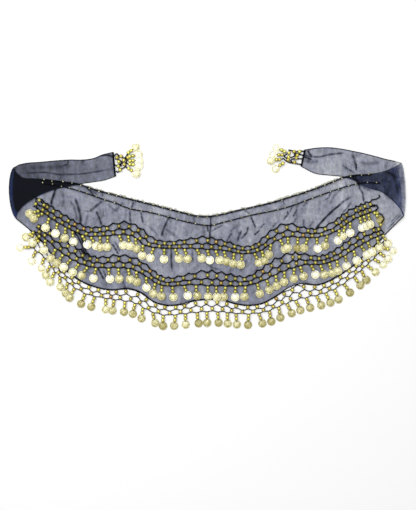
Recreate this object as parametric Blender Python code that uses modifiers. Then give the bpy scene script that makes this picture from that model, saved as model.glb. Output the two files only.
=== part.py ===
"""Belly dance hip scarf, laid flat on the floor.

One strip of sheer cloth makes a deep panel and a tie at each end, and both ties are folded
back behind the panel. Two chains lie along the waist. Three crocheted nets with rows of coins
run across the panel, the lowest one along its hem, and a short net ends each tie.

The tables are in millimetres, seen from above: x to the right, y towards the waist, z up from
the floor. The last step brings the whole scarf to metres, with its centre over the origin.
"""

import math

import bmesh
import bpy
import numpy as np
from mathutils import Matrix, Vector
from mathutils.bvhtree import BVHTree

# Sizes of the parts, in millimetres
CLOTH = 1.2
GAP = 0.3
CORD = 2.4
NET = 1.2
BEAD = 5.0
COIN = 18.5
COIN_THICK = 0.9
COIN_SIDES = 10
DROP = 24.5
STEM = 2.4
STEM_THICK = 0.7
TIP_OVERLAP = 1.5
CHAIN = 2.2
CHAIN_INSET = 2.0

# The panel rises over the ties: full height this far round them, then down over the slope
TIE_MARGIN = 20.0
TIE_SLOPE = 24.0
TIE_LIFT = CLOTH + GAP + 0.1
RIDGE_MIDDLE = 0.22
RIDGE_REACH = 0.14
SWELL_POWER = 0.6
SEAM = 0.4
SMALLEST_HOLE = 2.0
HIGHEST = 60.0
RING_TURNS = 16
TALLEST_STACK = 3.6
CHORD_ERROR = 0.5
WELD = 0.0001

# A net and a chain lie over the highest cloth within this reach of each of their points
NET_REACH = 10.0
CHAIN_REACH = 12.0

# Shares of a stem's length: where it clears the cloth, where it clears other coins, and
# where it counts as something that later coins lie on
STEM_ON_CLOTH = (0.35, 0.5, 0.65, 0.8, 1.0)
STEM_ON_COINS = (0.7, 1.0)
STEM_TOPS = (0.5, 0.75, 1.0)

# Middle of the laid scarf, in the tables' own x and y
CENTRE = (-1.5, 9.5)
METRE = 0.001

# Where the points of a sheet lie from its upper edge to its lower one
ACROSS = (0.0, 0.08, 0.18, 0.28, 0.4, 0.53, 0.68, 0.84, 1.0)

# Panel sections: top x, top y, hem x, hem y, outward bow of the section, height of a crease
PANEL = (
    (-405, 136, -396, 26, -8, 0.0),
    (-383, 135, -374, 8, -2, 0.0),
    (-352, 133, -348, -25, 0, 1.2),
    (-319, 129, -317, -61, 0, 0.0),
    (-284, 124, -282, -88, 0, 1.5),
    (-249, 112, -246, -103, 0, 1.0),
    (-211, 102, -211, -109, 0, 0.0),
    (-174, 92, -176, -106, 0, 1.0),
    (-145, 85, -147, -115, 0, 0.0),
    (-119, 78, -119, -135, 0, 0.0),
    (-88, 70, -88, -143, 0, 1.0),
    (-57, 62, -57, -140, 0, 0.0),
    (-29, 55, -29, -132, 0, 0.0),
    (0, 53, 0, -130, 0, 1.2),
    (31, 58, 29, -130, 0, 0.0),
    (59, 65, 59, -139, 0, 0.0),
    (90, 72, 90, -143, 0, 1.0),
    (121, 79, 121, -138, 0, 0.0),
    (152, 87, 152, -121, 0, 0.0),
    (180, 96, 180, -103, 0, 1.0),
    (209, 105, 209, -95, 0, 0.0),
    (240, 116, 240, -98, 0, 1.2),
    (271, 128, 271, -87, 0, 1.2),
    (299, 139, 299, -70, 0, 1.2),
    (328, 144, 326, -50, 0, 0.0),
    (354, 145, 350, -26, 0, 0.0),
    (381, 149, 374, -4, 0, 0.0),
    (403, 157, 398, 21, 2, 0.0),
)

# The rolled folds at the panel's two ends, outwards and round to the floor:
# top x, top y, hem x, hem y, bow, height of the middle of the wall
LEFT_FOLD = (
    (-419, 146, -411, 39, -11, 4.6),
    (-425, 154, -420, 46, -12, 5.0),
    (-427, 159, -422, 49, -13, 2.8),
    (-424, 161, -421, 55, -12, 1.0),
    (-417, 165, -418, 63, -10, 0.6),
)
RIGHT_FOLD = (
    (416, 163, 420, 43, 6, 4.6),
    (422, 167, 428, 51, 7, 5.0),
    (425, 169, 430, 54, 7, 2.8),
    (421, 170, 428, 59, 7, 1.0),
    (411, 173, 424, 69, 6, 0.6),
)

# Tie sections after the fold: upper x, upper y, lower x, lower y, bow
LEFT_TIE = (
    (-398, 169, -405, 78, -4),
    (-370, 171, -374, 98, 0),
    (-337, 174, -339, 112, 0),
    (-306, 176, -308, 119, 0),
    (-277, 176, -279, 124, 0),
    (-253, 179, -251, 128, 0),
    (-233, 187, -227, 132, 0),
    (-209, 193, -204, 140, 0),
)
RIGHT_TIE = (
    (392, 177, 407, 87, 2),
    (370, 183, 381, 107, 0),
    (343, 190, 350, 116, 0),
    (319, 195, 321, 132, 0),
    (293, 200, 293, 140, 0),
    (266, 203, 264, 143, 0),
    (238, 202, 235, 147, 0),
    (213, 198, 205, 162, 0),
)

# Net sections: upper cord x and y, lower cord x and y
UPPER_NET = (
    (-373, 90, -383, 75),
    (-351, 76, -362, 60),
    (-321, 56, -331, 39),
    (-270, 28, -275, 11),
    (-229, 28, -228, 9),
    (-184, 37, -185, 12),
    (-152, 26, -160, 6),
    (-137, 14, -145, -8),
    (-119, 1, -126, -15),
    (-88, -5, -88, -18),
    (-44, 0, -44, -18),
    (-6, 4, -7, -20),
    (39, -5, 36, -23),
    (77, -16, 77, -30),
    (107, -9, 113, -24),
    (135, 15, 146, -4),
    (170, 33, 174, 7),
    (208, 26, 206, 6),
    (236, 23, 239, 6),
    (269, 34, 277, 17),
    (312, 64, 322, 46),
    (363, 86, 372, 66),
)
MIDDLE_NET = (
    (-374, 34, -383, 20),
    (-350, 22, -363, 8),
    (-319, 0, -332, -20),
    (-285, -22, -296, -44),
    (-257, -37, -263, -58),
    (-229, -40, -229, -61),
    (-195, -36, -196, -61),
    (-159, -43, -167, -64),
    (-127, -64, -137, -79),
    (-107, -79, -113, -95),
    (-83, -85, -84, -101),
    (-41, -77, -39, -98),
    (-2, -71, -2, -100),
    (38, -76, 36, -101),
    (82, -83, 85, -100),
    (112, -69, 121, -89),
    (145, -47, 155, -73),
    (183, -32, 187, -61),
    (216, -34, 216, -54),
    (247, -37, 250, -53),
    (280, -23, 288, -41),
    (316, 2, 326, -17),
    (348, 21, 356, 0),
    (376, 27, 385, 14),
)
HEM_NET = (
    (-392, 23, -394, -13),
    (-370, 2, -376, -25),
    (-348, -21, -354, -44),
    (-321, -50, -337, -69),
    (-299, -71, -315, -87),
    (-275, -90, -288, -108),
    (-249, -103, -260, -121),
    (-211, -109, -218, -129),
    (-176, -106, -180, -134),
    (-147, -115, -156, -140),
    (-119, -135, -128, -156),
    (-88, -143, -92, -165),
    (-57, -140, -55, -162),
    (-29, -132, -26, -159),
    (0, -130, 2, -157),
    (29, -130, 31, -158),
    (59, -139, 59, -161),
    (90, -143, 92, -162),
    (121, -138, 128, -157),
    (152, -121, 158, -145),
    (180, -103, 189, -133),
    (209, -95, 216, -126),
    (240, -98, 244, -120),
    (271, -87, 277, -108),
    (299, -70, 312, -86),
    (326, -50, 341, -62),
    (350, -26, 365, -40),
    (370, -9, 381, -20),
    (385, 6, 388, -7),
)
LEFT_END_NET = (
    (-202, 188, -179, 192),
    (-201, 179, -177, 183),
    (-202, 169, -176, 173),
    (-202, 160, -177, 165),
    (-200, 150, -179, 157),
)
RIGHT_END_NET = (
    (211, 197, 175, 196),
    (209, 188, 168, 187),
    (206, 179, 162, 178),
    (202, 172, 167, 172),
    (201, 165, 176, 167),
)

# Drops of each net: distance along its lower cord, and lean from straight down in degrees,
# to the right where positive
UPPER_DROPS = (
    (18, -75), (27, -61), (43, -19), (64, -9), (84, -3), (101, 5), (124, 29), (143, 30),
    (164, 2), (181, -3), (206, 21), (226, 8), (243, 5), (266, -5), (290, -17), (314, -3),
    (336, 23), (358, 15), (384, 29), (408, 13), (426, 21), (445, 12), (467, -4), (486, -9),
    (512, 25), (529, 15), (555, -14), (576, 27), (595, -3), (616, -2), (639, -21), (657, 8),
    (682, -13), (711, -6), (726, -12), (740, 0), (763, 15), (773, 15), (784, 8), (796, 40),
)
MIDDLE_DROPS = (
    (4, -62), (18, -47), (32, -8), (62, -24), (83, -34), (104, -43), (124, -36), (144, -36),
    (162, -15), (189, 7), (211, 3), (232, 10), (251, 3), (276, 1), (300, -10), (316, -4),
    (339, 5), (364, 21), (390, 9), (416, 5), (435, 4), (456, -10), (477, 0), (500, -6),
    (526, 14), (548, 16), (570, 7), (592, -3), (614, -1), (627, 21), (652, 24), (672, 23),
    (692, 17), (710, 7), (732, 6), (752, 18), (772, 31), (788, 23), (812, 12), (824, 34),
)
HEM_DROPS = (
    (6, -90), (19, -23), (42, -15), (64, -24), (82, -27), (96, 2), (118, -11), (138, -29),
    (164, -22), (187, -21), (211, -2), (230, -11), (253, -5), (276, -12), (296, -8),
    (320, 12), (343, 0), (371, -8), (393, 0), (418, 9), (440, 1), (464, 4), (485, 2),
    (504, 5), (532, -3), (554, 20), (578, 11), (600, 10), (620, 26), (640, 26), (664, 22),
    (687, 27), (708, 27), (729, 23), (753, 35), (780, 37), (801, 29), (818, 52), (838, 61),
    (856, 58), (870, 73),
)
LEFT_END_DROPS = ((3, 128), (10, 103), (18, 90), (25, 81), (33, 57))
RIGHT_END_DROPS = ((4, -113), (12, -93), (23, -84), (32, -54))

# Where the waist chain starts and ends along x
WAIST_CHAIN_ENDS = (-375.0, 365.0)

# Second chain: x, y
SECOND_CHAIN = (
    (-365, 125), (-321, 118), (-277, 106), (-231, 90), (-202, 81), (-172, 69), (-128, 61),
    (-88, 51), (-51, 41), (0, 32), (37, 40), (92, 54), (141, 64), (180, 74), (224, 90),
    (268, 106), (312, 120), (345, 126), (378, 125),
)

# Finishes: colour, roughness, metallic
CLOTH_FINISH = ((0.05, 0.052, 0.075, 1.0), 0.75, 0.0)
CORD_FINISH = ((0.012, 0.012, 0.016, 1.0), 0.8, 0.0)
COIN_FINISH = ((0.62, 0.52, 0.24, 1.0), 0.35, 0.9)

PARTS = "hip_scarf"


def clear_scene():
    for thing in list(bpy.data.objects):
        bpy.data.objects.remove(thing, do_unlink=True)


def make_finish(name, finish):
    colour, roughness, metallic = finish
    material = bpy.data.materials.new(name)
    material.use_nodes = True
    shader = material.node_tree.nodes["Principled BSDF"]
    shader.inputs["Base Color"].default_value = colour
    shader.inputs["Roughness"].default_value = roughness
    shader.inputs["Metallic"].default_value = metallic
    return material


def ease(share):
    """A soft step from 0 to 1."""
    share = min(max(share, 0.0), 1.0)
    return share * share * (3.0 - 2.0 * share)


def smooth(rows, steps):
    """The rows of a table with a smooth run of steps from each row to the next."""
    table = np.array(rows, dtype=float)
    last = len(table) - 1
    slopes = []
    for place in range(len(table)):
        before = max(place - 1, 0)
        after = min(place + 1, last)
        slopes.append((table[after] - table[before]) / (after - before))
    run = []
    for place in range(last):
        for step in range(steps):
            t = step / steps
            run.append(
                (2 * t**3 - 3 * t**2 + 1) * table[place]
                + (t**3 - 2 * t**2 + t) * slopes[place]
                + (3 * t**2 - 2 * t**3) * table[place + 1]
                + (t**3 - t**2) * slopes[place + 1]
            )
    run.append(table[last])
    return run


def on_section(section, share):
    """The x and y of a place on a sheet's section, which bows outwards between its ends."""
    top_x, top_y, low_x, low_y, bow = section[:5]
    swell = (4.0 * share * (1.0 - share)) ** SWELL_POWER
    return (
        top_x + (low_x - top_x) * share + bow * swell,
        top_y + (low_y - top_y) * share,
    )


def distance_to(outline, x, y):
    """How far a place is from an outline, and 0 inside it."""
    inside = False
    nearest = math.inf
    for index, (bx, by) in enumerate(outline):
        ax, ay = outline[index - 1]
        if (ay > y) != (by > y) and x < (bx - ax) * (y - ay) / (by - ay) + ax:
            inside = not inside
        run = max((bx - ax) ** 2 + (by - ay) ** 2, 1e-9)
        share = ((x - ax) * (bx - ax) + (y - ay) * (by - ay)) / run
        share = min(max(share, 0.0), 1.0)
        away = math.hypot(ax + (bx - ax) * share - x, ay + (by - ay) * share - y)
        nearest = min(nearest, away)
    return 0.0 if inside else nearest


def nearest_on(path, x, y):
    """The place on an open path that is nearest to x and y."""
    best = None
    for (ax, ay), (bx, by) in zip(path, path[1:]):
        run = (bx - ax) ** 2 + (by - ay) ** 2
        share = ((x - ax) * (bx - ax) + (y - ay) * (by - ay)) / run
        share = min(max(share, 0.0), 1.0)
        place = (ax + (bx - ax) * share, ay + (by - ay) * share)
        away = math.hypot(place[0] - x, place[1] - y)
        if best is None or away < best[0]:
            best = (away, place)
    return best[1]


def beside(path, offset):
    """A path moved sideways by offset, to the right of its run, with mitred corners."""
    moved = []
    for index, (x, y) in enumerate(path):
        ax, ay = path[max(index - 1, 0)]
        bx, by = path[min(index + 1, len(path) - 1)]
        before = Vector((x - ax, y - ay)) if index else Vector((bx - x, by - y))
        after = Vector((bx - x, by - y)) if index < len(path) - 1 else before
        before = before.normalized()
        after = after.normalized()
        across = Vector((before.y + after.y, -before.x - after.x)).normalized()
        mitre = max(across.dot(Vector((before.y, -before.x))), 0.5)
        moved.append((x + across.x * offset / mitre, y + across.y * offset / mitre))
    return moved


def sheet_points(sections, across, height):
    """Rows of points on a sheet's middle surface."""
    rows = []
    for section in sections:
        row = []
        for share in across:
            x, y = on_section(section, share)
            row.append((x, y, height(section, share, x, y)))
        rows.append(row)
    return rows


def make_sheet(name, rows, material):
    """Cloth through rows of points, given its wall by Solidify."""
    bpy.ops.mesh.primitive_grid_add(
        x_subdivisions=len(rows[0]) - 1, y_subdivisions=len(rows) - 1
    )
    sheet = bpy.context.object
    sheet.name = name
    places = [place for row in rows for place in row]
    for vertex, place in zip(sheet.data.vertices, places):
        vertex.co = place
    wall = sheet.modifiers.new("wall", "SOLIDIFY")
    wall.thickness = CLOTH
    wall.offset = 0.0
    wall.use_even_offset = True
    return finished(sheet, material)


def finished(thing, material):
    """The object with its modifiers applied, its corners welded and its finish given."""
    graph = bpy.context.evaluated_depsgraph_get()
    mesh = bpy.data.meshes.new_from_object(thing.evaluated_get(graph))
    mesh.transform(thing.matrix_world)
    name = thing.name
    bpy.data.objects.remove(thing, do_unlink=True)
    shape = bmesh.new()
    shape.from_mesh(mesh)
    bmesh.ops.remove_doubles(shape, verts=shape.verts, dist=WELD)
    bmesh.ops.recalc_face_normals(shape, faces=shape.faces)
    shape.to_mesh(mesh)
    shape.free()
    mesh.name = name
    mesh.materials.clear()
    mesh.materials.append(material)
    solid = bpy.data.objects.new(name, mesh)
    bpy.data.collections[PARTS].objects.link(solid)
    return solid


def tree_of(solid):
    """What lies on the floor already, kept for finding the height of its top."""
    mesh = solid.data
    corners = [vertex.co.copy() for vertex in mesh.vertices]
    faces = [tuple(face.vertices) for face in mesh.polygons]
    return BVHTree.FromPolygons(corners, faces)


def top_at(laid, x, y):
    """The height of the highest piece at one place, and 0 on the bare floor."""
    top = 0.0
    for tree in laid:
        hit = tree.ray_cast(Vector((x, y, HIGHEST)), Vector((0.0, 0.0, -1.0)))[0]
        if hit is not None:
            top = max(top, hit.z)
    return top


def top_near(laid, x, y, reach):
    """The height of the highest piece within reach of a place."""
    top = top_at(laid, x, y)
    for radius in (reach * 0.5, reach):
        for turn in range(RING_TURNS):
            angle = math.tau * turn / RING_TURNS
            near_x = x + radius * math.cos(angle)
            near_y = y + radius * math.sin(angle)
            top = max(top, top_at(laid, near_x, near_y))
    return top


class Rails:
    """The upper and lower cord of a net, found by the distance along the lower one."""

    STEPS = 8

    def __init__(self, table, drops, edge=None):
        run = smooth(table, self.STEPS)
        self.upper = [(row[0], row[1]) for row in run]
        self.lower = [(row[2], row[3]) for row in run]
        if edge is not None:
            self.upper = [self.from_edge(edge, *ends) for ends in zip(self.upper, self.lower)]
        steps = [math.dist(a, b) for a, b in zip(self.lower, self.lower[1:])]
        self.along = [0.0]
        for step in steps:
            self.along.append(self.along[-1] + step)
        self.length = self.along[-1]
        self.drops = [distance for distance, lean in drops]
        self.leans = [lean for distance, lean in drops]
        self.upper_stops = [0.0, *self.drops, self.length]

    def from_edge(self, edge, upper, lower):
        """The middle of the upper cord where it runs beside a cloth edge."""
        x, y = nearest_on(edge, *upper)
        away = math.dist((x, y), lower)
        share = (CORD / 2 + GAP) / away
        return (x + (lower[0] - x) * share, y + (lower[1] - y) * share)

    def place(self, distance, share):
        """A place between the cords: share 0 on the upper one, 1 on the lower one."""
        ends = []
        for path in (self.upper, self.lower):
            x = float(np.interp(distance, self.along, [point[0] for point in path]))
            y = float(np.interp(distance, self.along, [point[1] for point in path]))
            ends.append((x, y))
        (ax, ay), (bx, by) = ends
        return (ax + (bx - ax) * share, ay + (by - ay) * share)

    def depth(self, distance):
        return math.dist(self.place(distance, 0.0), self.place(distance, 1.0))


def with_bulges(rails, stops):
    """The stops, and the middles of the stretches where the lower cord bulges."""
    full = [stops[0]]
    for start, end in zip(stops, stops[1:]):
        middle = (start + end) / 2
        ax, ay = rails.place(start, 1.0)
        bx, by = rails.place(end, 1.0)
        x, y = rails.place(middle, 1.0)
        if math.dist((x, y), ((ax + bx) / 2, (ay + by) / 2)) > CHORD_ERROR:
            full.append(middle)
        full.append(end)
    return full


def net_outlines(rails, edge_side=None):
    """The outline of a net and its holes: three cords joined by two rows of bead bars."""
    lower_bars = [(a + b) / 2 for a, b in zip(rails.drops, rails.drops[1:])]
    half = CORD / 2
    lower_stops = [0.0, *lower_bars, rails.length]
    if edge_side is None:
        edge_side = [rails.place(stop, -half / rails.depth(stop))
                     for stop in rails.upper_stops]
    outer_side = [rails.place(stop, 1.0 + half / rails.depth(stop))
                  for stop in with_bulges(rails, lower_stops)]
    outlines = [edge_side + outer_side[::-1]]
    for bars, first, second in ((rails.drops, 0.0, 0.5), (lower_bars, 0.5, 1.0)):
        for start, end in zip(bars, bars[1:]):
            left = start + BEAD / 2
            right = end - BEAD / 2
            high = min(rails.depth(left), rails.depth(right)) * (second - first) - CORD
            if high < SMALLEST_HOLE or right - left < SMALLEST_HOLE:
                continue
            outlines.append([
                rails.place(left, first + half / rails.depth(left)),
                rails.place(right, first + half / rails.depth(right)),
                rails.place(right, second - half / rails.depth(right)),
                rails.place(left, second - half / rails.depth(left)),
            ])
    return outlines


def make_plate(name, outlines, thick, base):
    """A flat piece with holes, its underside at base."""
    curve = bpy.data.curves.new(name, "CURVE")
    curve.dimensions = "2D"
    curve.fill_mode = "BOTH"
    curve.extrude = thick / 2
    for outline in outlines:
        spline = curve.splines.new("POLY")
        spline.points.add(len(outline) - 1)
        for point, (x, y) in zip(spline.points, outline):
            point.co = (x, y, 0.0, 1.0)
        spline.use_cyclic_u = True
    plate = bpy.data.objects.new(name, curve)
    plate.location.z = base + thick / 2
    bpy.context.scene.collection.objects.link(plate)
    bpy.context.view_layer.update()
    return plate


def lift_onto(solid, laid, reach):
    """Raises each point of a thin piece that lies on others by the height of their tops."""
    for vertex in solid.data.vertices:
        vertex.co.z += top_near(laid, vertex.co.x, vertex.co.y, reach)


def add_coin(centre, lean):
    bpy.ops.mesh.primitive_cylinder_add(
        vertices=COIN_SIDES, radius=COIN / 2, depth=COIN_THICK, location=centre,
        rotation=(0.0, 0.0, lean),
    )
    return bpy.context.object


def add_stem(root, tip):
    """A flat bar from the lower cord to just inside a coin's rim."""
    bpy.ops.mesh.primitive_cube_add(size=1.0, location=(root + tip) / 2)
    stem = bpy.context.object
    stem.scale = (STEM, (tip - root).length, STEM_THICK)
    stem.rotation_mode = "QUATERNION"
    stem.rotation_quaternion = (tip - root).to_track_quat("Y", "Z")
    return stem


def drop_places(rails, root_height, laid, own_net):
    """Roots, tips and coin centres of a row of drops, each coin above what lies under it."""
    discs = []
    places = []
    for distance, lean in zip(rails.drops, rails.leans):
        angle = math.radians(lean)
        way = Vector((math.sin(angle), -math.cos(angle)))
        start = Vector(rails.place(distance, 1.0))
        root_z = root_height(start.x, start.y)
        middle = start + way * DROP
        under = max(
            top_near(laid, middle.x, middle.y, COIN / 2 + GAP),
            top_near([own_net], middle.x, middle.y, COIN / 2 + GAP),
        )
        coin_z = under + GAP + COIN_THICK / 2
        rim = DROP - COIN / 2
        for share in STEM_ON_CLOTH:
            spot = start + way * rim * share
            least = top_near(laid, spot.x, spot.y, STEM / 2 + GAP) + GAP + STEM_THICK / 2
            coin_z = max(coin_z, root_z + (least - root_z) / share)
        own = [top for x, y, radius, top in discs
               if math.dist((x, y), middle) < COIN / 2 + radius + GAP]
        for share in STEM_ON_COINS:
            spot = start + way * rim * share
            own += [top for x, y, radius, top in discs
                    if math.dist((x, y), spot) < STEM / 2 + radius + GAP]
        stacked = min(max(own, default=0.0) + GAP + COIN_THICK / 2, root_z + TALLEST_STACK)
        coin_z = max(coin_z, stacked)
        tip = start + way * (rim + TIP_OVERLAP)
        root = Vector((start.x, start.y, root_z))
        places.append((root, Vector((tip.x, tip.y, coin_z)),
                       Vector((middle.x, middle.y, coin_z)), angle))
        discs.append((middle.x, middle.y, COIN / 2, coin_z + COIN_THICK / 2))
        for share in STEM_TOPS:
            spot = start + way * rim * share
            height = root_z + (coin_z - root_z) * share + STEM_THICK / 2
            discs.append((spot.x, spot.y, STEM / 2, height))
    return places


def make_net(name, rails, laid, base, reach, material, edge_side=None):
    """A net with its row of drops, laid on the pieces below and fused into one body."""
    plate = make_plate(name, net_outlines(rails, edge_side), NET, base)
    net = finished(plate, material)
    if reach:
        lift_onto(net, laid, reach)
    net_tree = tree_of(net)

    def root_height(x, y):
        return top_at([net_tree], x, y) - NET / 2

    drops = bpy.data.collections.new(name + "_drops")
    bpy.context.scene.collection.children.link(drops)
    for root, tip, centre, angle in drop_places(rails, root_height, laid, net_tree):
        for piece in (add_coin(centre, angle), add_stem(root, tip)):
            for holder in list(piece.users_collection):
                holder.objects.unlink(piece)
            drops.objects.link(piece)
    union = net.modifiers.new("drops", "BOOLEAN")
    union.operation = "UNION"
    union.operand_type = "COLLECTION"
    union.collection = drops
    union.solver = "EXACT"
    net = finished(net, material)
    for piece in list(drops.objects):
        bpy.data.objects.remove(piece, do_unlink=True)
    bpy.data.collections.remove(drops)
    return net


def make_chain(name, path, laid, material):
    """A four sided cord that lies on the panel."""
    curve = bpy.data.curves.new(name, "CURVE")
    curve.dimensions = "3D"
    curve.twist_mode = "Z_UP"
    curve.bevel_depth = CHAIN / 2
    curve.bevel_resolution = 0
    curve.use_fill_caps = True
    spline = curve.splines.new("POLY")
    spline.points.add(len(path) - 1)
    for point, (x, y) in zip(spline.points, path):
        height = top_near(laid, x, y, CHAIN_REACH) + GAP + CHAIN / 2
        point.co = (x, y, height, 1.0)
    chain = bpy.data.objects.new(name, curve)
    bpy.context.scene.collection.objects.link(chain)
    bpy.context.view_layer.update()
    return finished(chain, material)


def to_metres(solids):
    """Brings every piece from the tables' millimetres to metres, centred over the origin."""
    shift = Matrix.Translation((-CENTRE[0], -CENTRE[1], 0.0))
    for solid in solids:
        solid.data.transform(Matrix.Scale(METRE, 4) @ shift)
        solid.data.update()


def tie_rows(fold, sections, side):
    """Points of a tie, which starts a seam's width from the end of the rolled fold."""
    start = list(fold[-1][:5])
    start[0] -= side * SEAM
    start[2] -= side * SEAM
    run = [tuple(start)] + list(sections)
    return sheet_points(run, ACROSS, lambda section, share, x, y: CLOTH / 2)


def outline_of(rows):
    """The outline of a sheet's rows, seen from above."""
    outline = [place[:2] for place in rows[0]]
    outline += [row[-1][:2] for row in rows[1:]]
    outline += [place[:2] for place in rows[-1][-2::-1]]
    outline += [row[0][:2] for row in rows[-2:0:-1]]
    return outline


def panel_rows(tie_outlines):
    """Points of the panel, with a rolled fold at each end that turns under it."""
    def height(section, share, x, y):
        away = min(distance_to(outline, x, y) for outline in tie_outlines)
        lift = TIE_LIFT * ease(1.0 - (away - TIE_MARGIN) / TIE_SLOPE)
        crease = section[5] * ease(1.0 - abs(share - RIDGE_MIDDLE) / RIDGE_REACH)
        return CLOTH / 2 + lift + max(crease, 0.0)

    def fold_height(section, share, x, y):
        return section[5]

    main = sheet_points(smooth(PANEL, 2), ACROSS, height)
    left = sheet_points(LEFT_FOLD[::-1], ACROSS, fold_height)
    right = sheet_points(RIGHT_FOLD, ACROSS, fold_height)
    return left + main + right


def main():
    clear_scene()
    parts = bpy.data.collections.new(PARTS)
    bpy.context.scene.collection.children.link(parts)
    panel_cloth = make_finish("panel_cloth", CLOTH_FINISH)
    left_cloth = make_finish("left_tie_cloth", CLOTH_FINISH)
    right_cloth = make_finish("right_tie_cloth", CLOTH_FINISH)

    left_rows = tie_rows(LEFT_FOLD, LEFT_TIE, -1)
    right_rows = tie_rows(RIGHT_FOLD, RIGHT_TIE, 1)
    tie_left = make_sheet("tie_left", left_rows, left_cloth)
    tie_right = make_sheet("tie_right", right_rows, right_cloth)
    rows = panel_rows([outline_of(left_rows), outline_of(right_rows)])
    panel = make_sheet("panel", rows, panel_cloth)
    laid = [tree_of(tie_left), tree_of(tie_right), tree_of(panel)]
    solids = [tie_left, tie_right, panel]

    folds = len(LEFT_FOLD)
    top_edge = [row[0][:2] for row in rows[folds:-folds]]
    hem_edge = [row[-1][:2] for row in rows[folds:-folds]]

    hem_rails = Rails(HEM_NET, HEM_DROPS, edge=hem_edge)
    ends = (hem_rails.place(0.0, 0.0)[0], hem_rails.place(hem_rails.length, 0.0)[0])
    hem_side = [
        point for point in beside(hem_edge, GAP)
        if ends[0] < point[0] < ends[1]
    ]
    hem = make_net("band_hem", hem_rails, laid, 0.0, 0.0,
                   make_finish("hem_band_cord", CORD_FINISH), hem_side)
    laid.append(tree_of(hem))
    for name, table, drops in (
        ("band_middle", MIDDLE_NET, MIDDLE_DROPS),
        ("band_upper", UPPER_NET, UPPER_DROPS),
    ):
        finish = make_finish(name + "_cord", CORD_FINISH)
        band = make_net(name, Rails(table, drops), laid, GAP, NET_REACH, finish)
        laid.append(tree_of(band))
        solids.append(band)
    solids.append(hem)
    for name, table, drops, end in (
        ("fringe_left", LEFT_END_NET, LEFT_END_DROPS, left_rows[-1][::-1]),
        ("fringe_right", RIGHT_END_NET, RIGHT_END_DROPS, right_rows[-1]),
    ):
        finish = make_finish(name + "_cord", CORD_FINISH)
        edge = [end[0][:2], end[-1][:2]]
        rails = Rails(table, drops, edge=edge)
        side = [nearest_on(beside(edge, GAP), *rails.place(stop, 0.0))
                for stop in rails.upper_stops]
        solids.append(make_net(name, rails, laid, 0.0, 0.0, finish, side))

    waist = [
        point for point in beside(top_edge, CHAIN_INSET)
        if WAIST_CHAIN_ENDS[0] < point[0] < WAIST_CHAIN_ENDS[1]
    ]
    solids.append(make_chain("waist_chain", waist, laid[:3],
                             make_finish("waist_chain_beads", COIN_FINISH)))
    second = [tuple(point) for point in smooth(SECOND_CHAIN, 3)]
    solids.append(make_chain("second_chain", second, laid[:3],
                             make_finish("second_chain_beads", COIN_FINISH)))
    to_metres(solids)


main()
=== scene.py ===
import math
import random

import bpy
import numpy as np
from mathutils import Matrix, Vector, noise
from mathutils.bvhtree import BVHTree


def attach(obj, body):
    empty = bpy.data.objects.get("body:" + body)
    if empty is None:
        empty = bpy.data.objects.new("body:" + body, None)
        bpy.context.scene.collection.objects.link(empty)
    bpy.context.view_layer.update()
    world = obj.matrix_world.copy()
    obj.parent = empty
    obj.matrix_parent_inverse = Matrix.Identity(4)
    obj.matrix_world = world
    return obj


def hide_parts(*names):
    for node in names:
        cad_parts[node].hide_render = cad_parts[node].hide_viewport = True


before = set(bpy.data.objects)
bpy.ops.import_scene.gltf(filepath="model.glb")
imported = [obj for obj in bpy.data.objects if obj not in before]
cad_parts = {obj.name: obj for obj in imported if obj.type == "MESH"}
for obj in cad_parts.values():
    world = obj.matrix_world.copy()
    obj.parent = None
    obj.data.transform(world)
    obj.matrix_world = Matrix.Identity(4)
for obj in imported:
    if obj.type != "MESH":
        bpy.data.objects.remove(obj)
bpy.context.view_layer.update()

bl_info = {
    "name": "Hip Scarf",
    "version": (1, 0, 0),
    "blender": (4, 5, 0),
    "location": "View3D > Sidebar > Hip Scarf",
    "description": "Dresses a laid belly dance hip scarf: sheer cloth, yarn nets, beads and coins",
    "category": "Add Mesh",
}

# The tables are in millimetres seen from above, as the solids were laid out
MM = 0.001
CENTRE = np.array([-1.5, 9.5, 0.0])
CLOTH = 1.2
GAP = 0.3
CORD = 2.4
NET = 1.2
COIN_THICK = 0.9
DROP = 24.5
STEM = 2.4
STEM_THICK = 0.7
TALLEST_STACK = 3.6
HIGHEST = 60.0
NET_REACH = 10.0
CHAIN_REACH = 12.0
TIE_MARGIN = 20.0
TIE_SLOPE = 24.0
TIE_LIFT = CLOTH + GAP + 0.1

# How the cloth of this model lies in the wall of its solid
CLOTH_RISE = 0.35
TIE_HEIGHT = 0.75
CREASE_SPREAD = 1.7
CREASE_DEPTH = 1.8
# Painted light and shade across each coin, lighter at its upper left and duller at its lower right
COIN_PAINTED_SHADING = 0.22
ROOF = 1.12
BROWN_SHARE = 0.05
PANEL_STEPS = 16
PANEL_COLUMNS = 150
TIE_STEPS = 18
TIE_COLUMNS = 56
RING_TURNS = 16
LEVEL_STOPS = 150

# Smooth plies of the panel from left to right, and how many more at its hem than at its top
PLIES_X = (-400.0, -250.0, -150.0, 0.0, 150.0, 300.0, 400.0)
PLIES = (1.09, 1.04, 0.92, 1.02, 0.94, 0.89, 0.82)
PLIES_DOWN = 0.12
# Slow wave of a cloth: its rate along x and y
WAVE_RATE = (0.022, 0.03)

# Yarn: sides and size of its strands, the step between its rings of points, and the length
# of one turn of its strands
YARN_SIDES = 5
STRAND_SHARE = 0.62
STRAND_OFFSET = 0.5
CORD_STEP, CORD_LAY = 1.3, 4.6
EDGE_STEP, EDGE_LAY = 1.6, 3.2

# Places along the stem of a drop, in shares of it: where it has to clear what lies below,
# where it has to clear other drops, and where other drops have to clear it
STEM_CLEARS = (0.35, 0.5, 0.65, 0.8, 1.0)
STEM_CROSSES = (0.7, 1.0)
STEM_FILLS = (0.5, 0.75, 1.0)

# Photograph: a pixel is 2.2 mm, and the picture's middle lies over this place of the tables
PIXEL = 2.2
PICTURE_LONG_SIDE = 510
LOOKED_AT = (0.0, -33.0)
LENS = 85.0
SENSOR = 36.0

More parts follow.
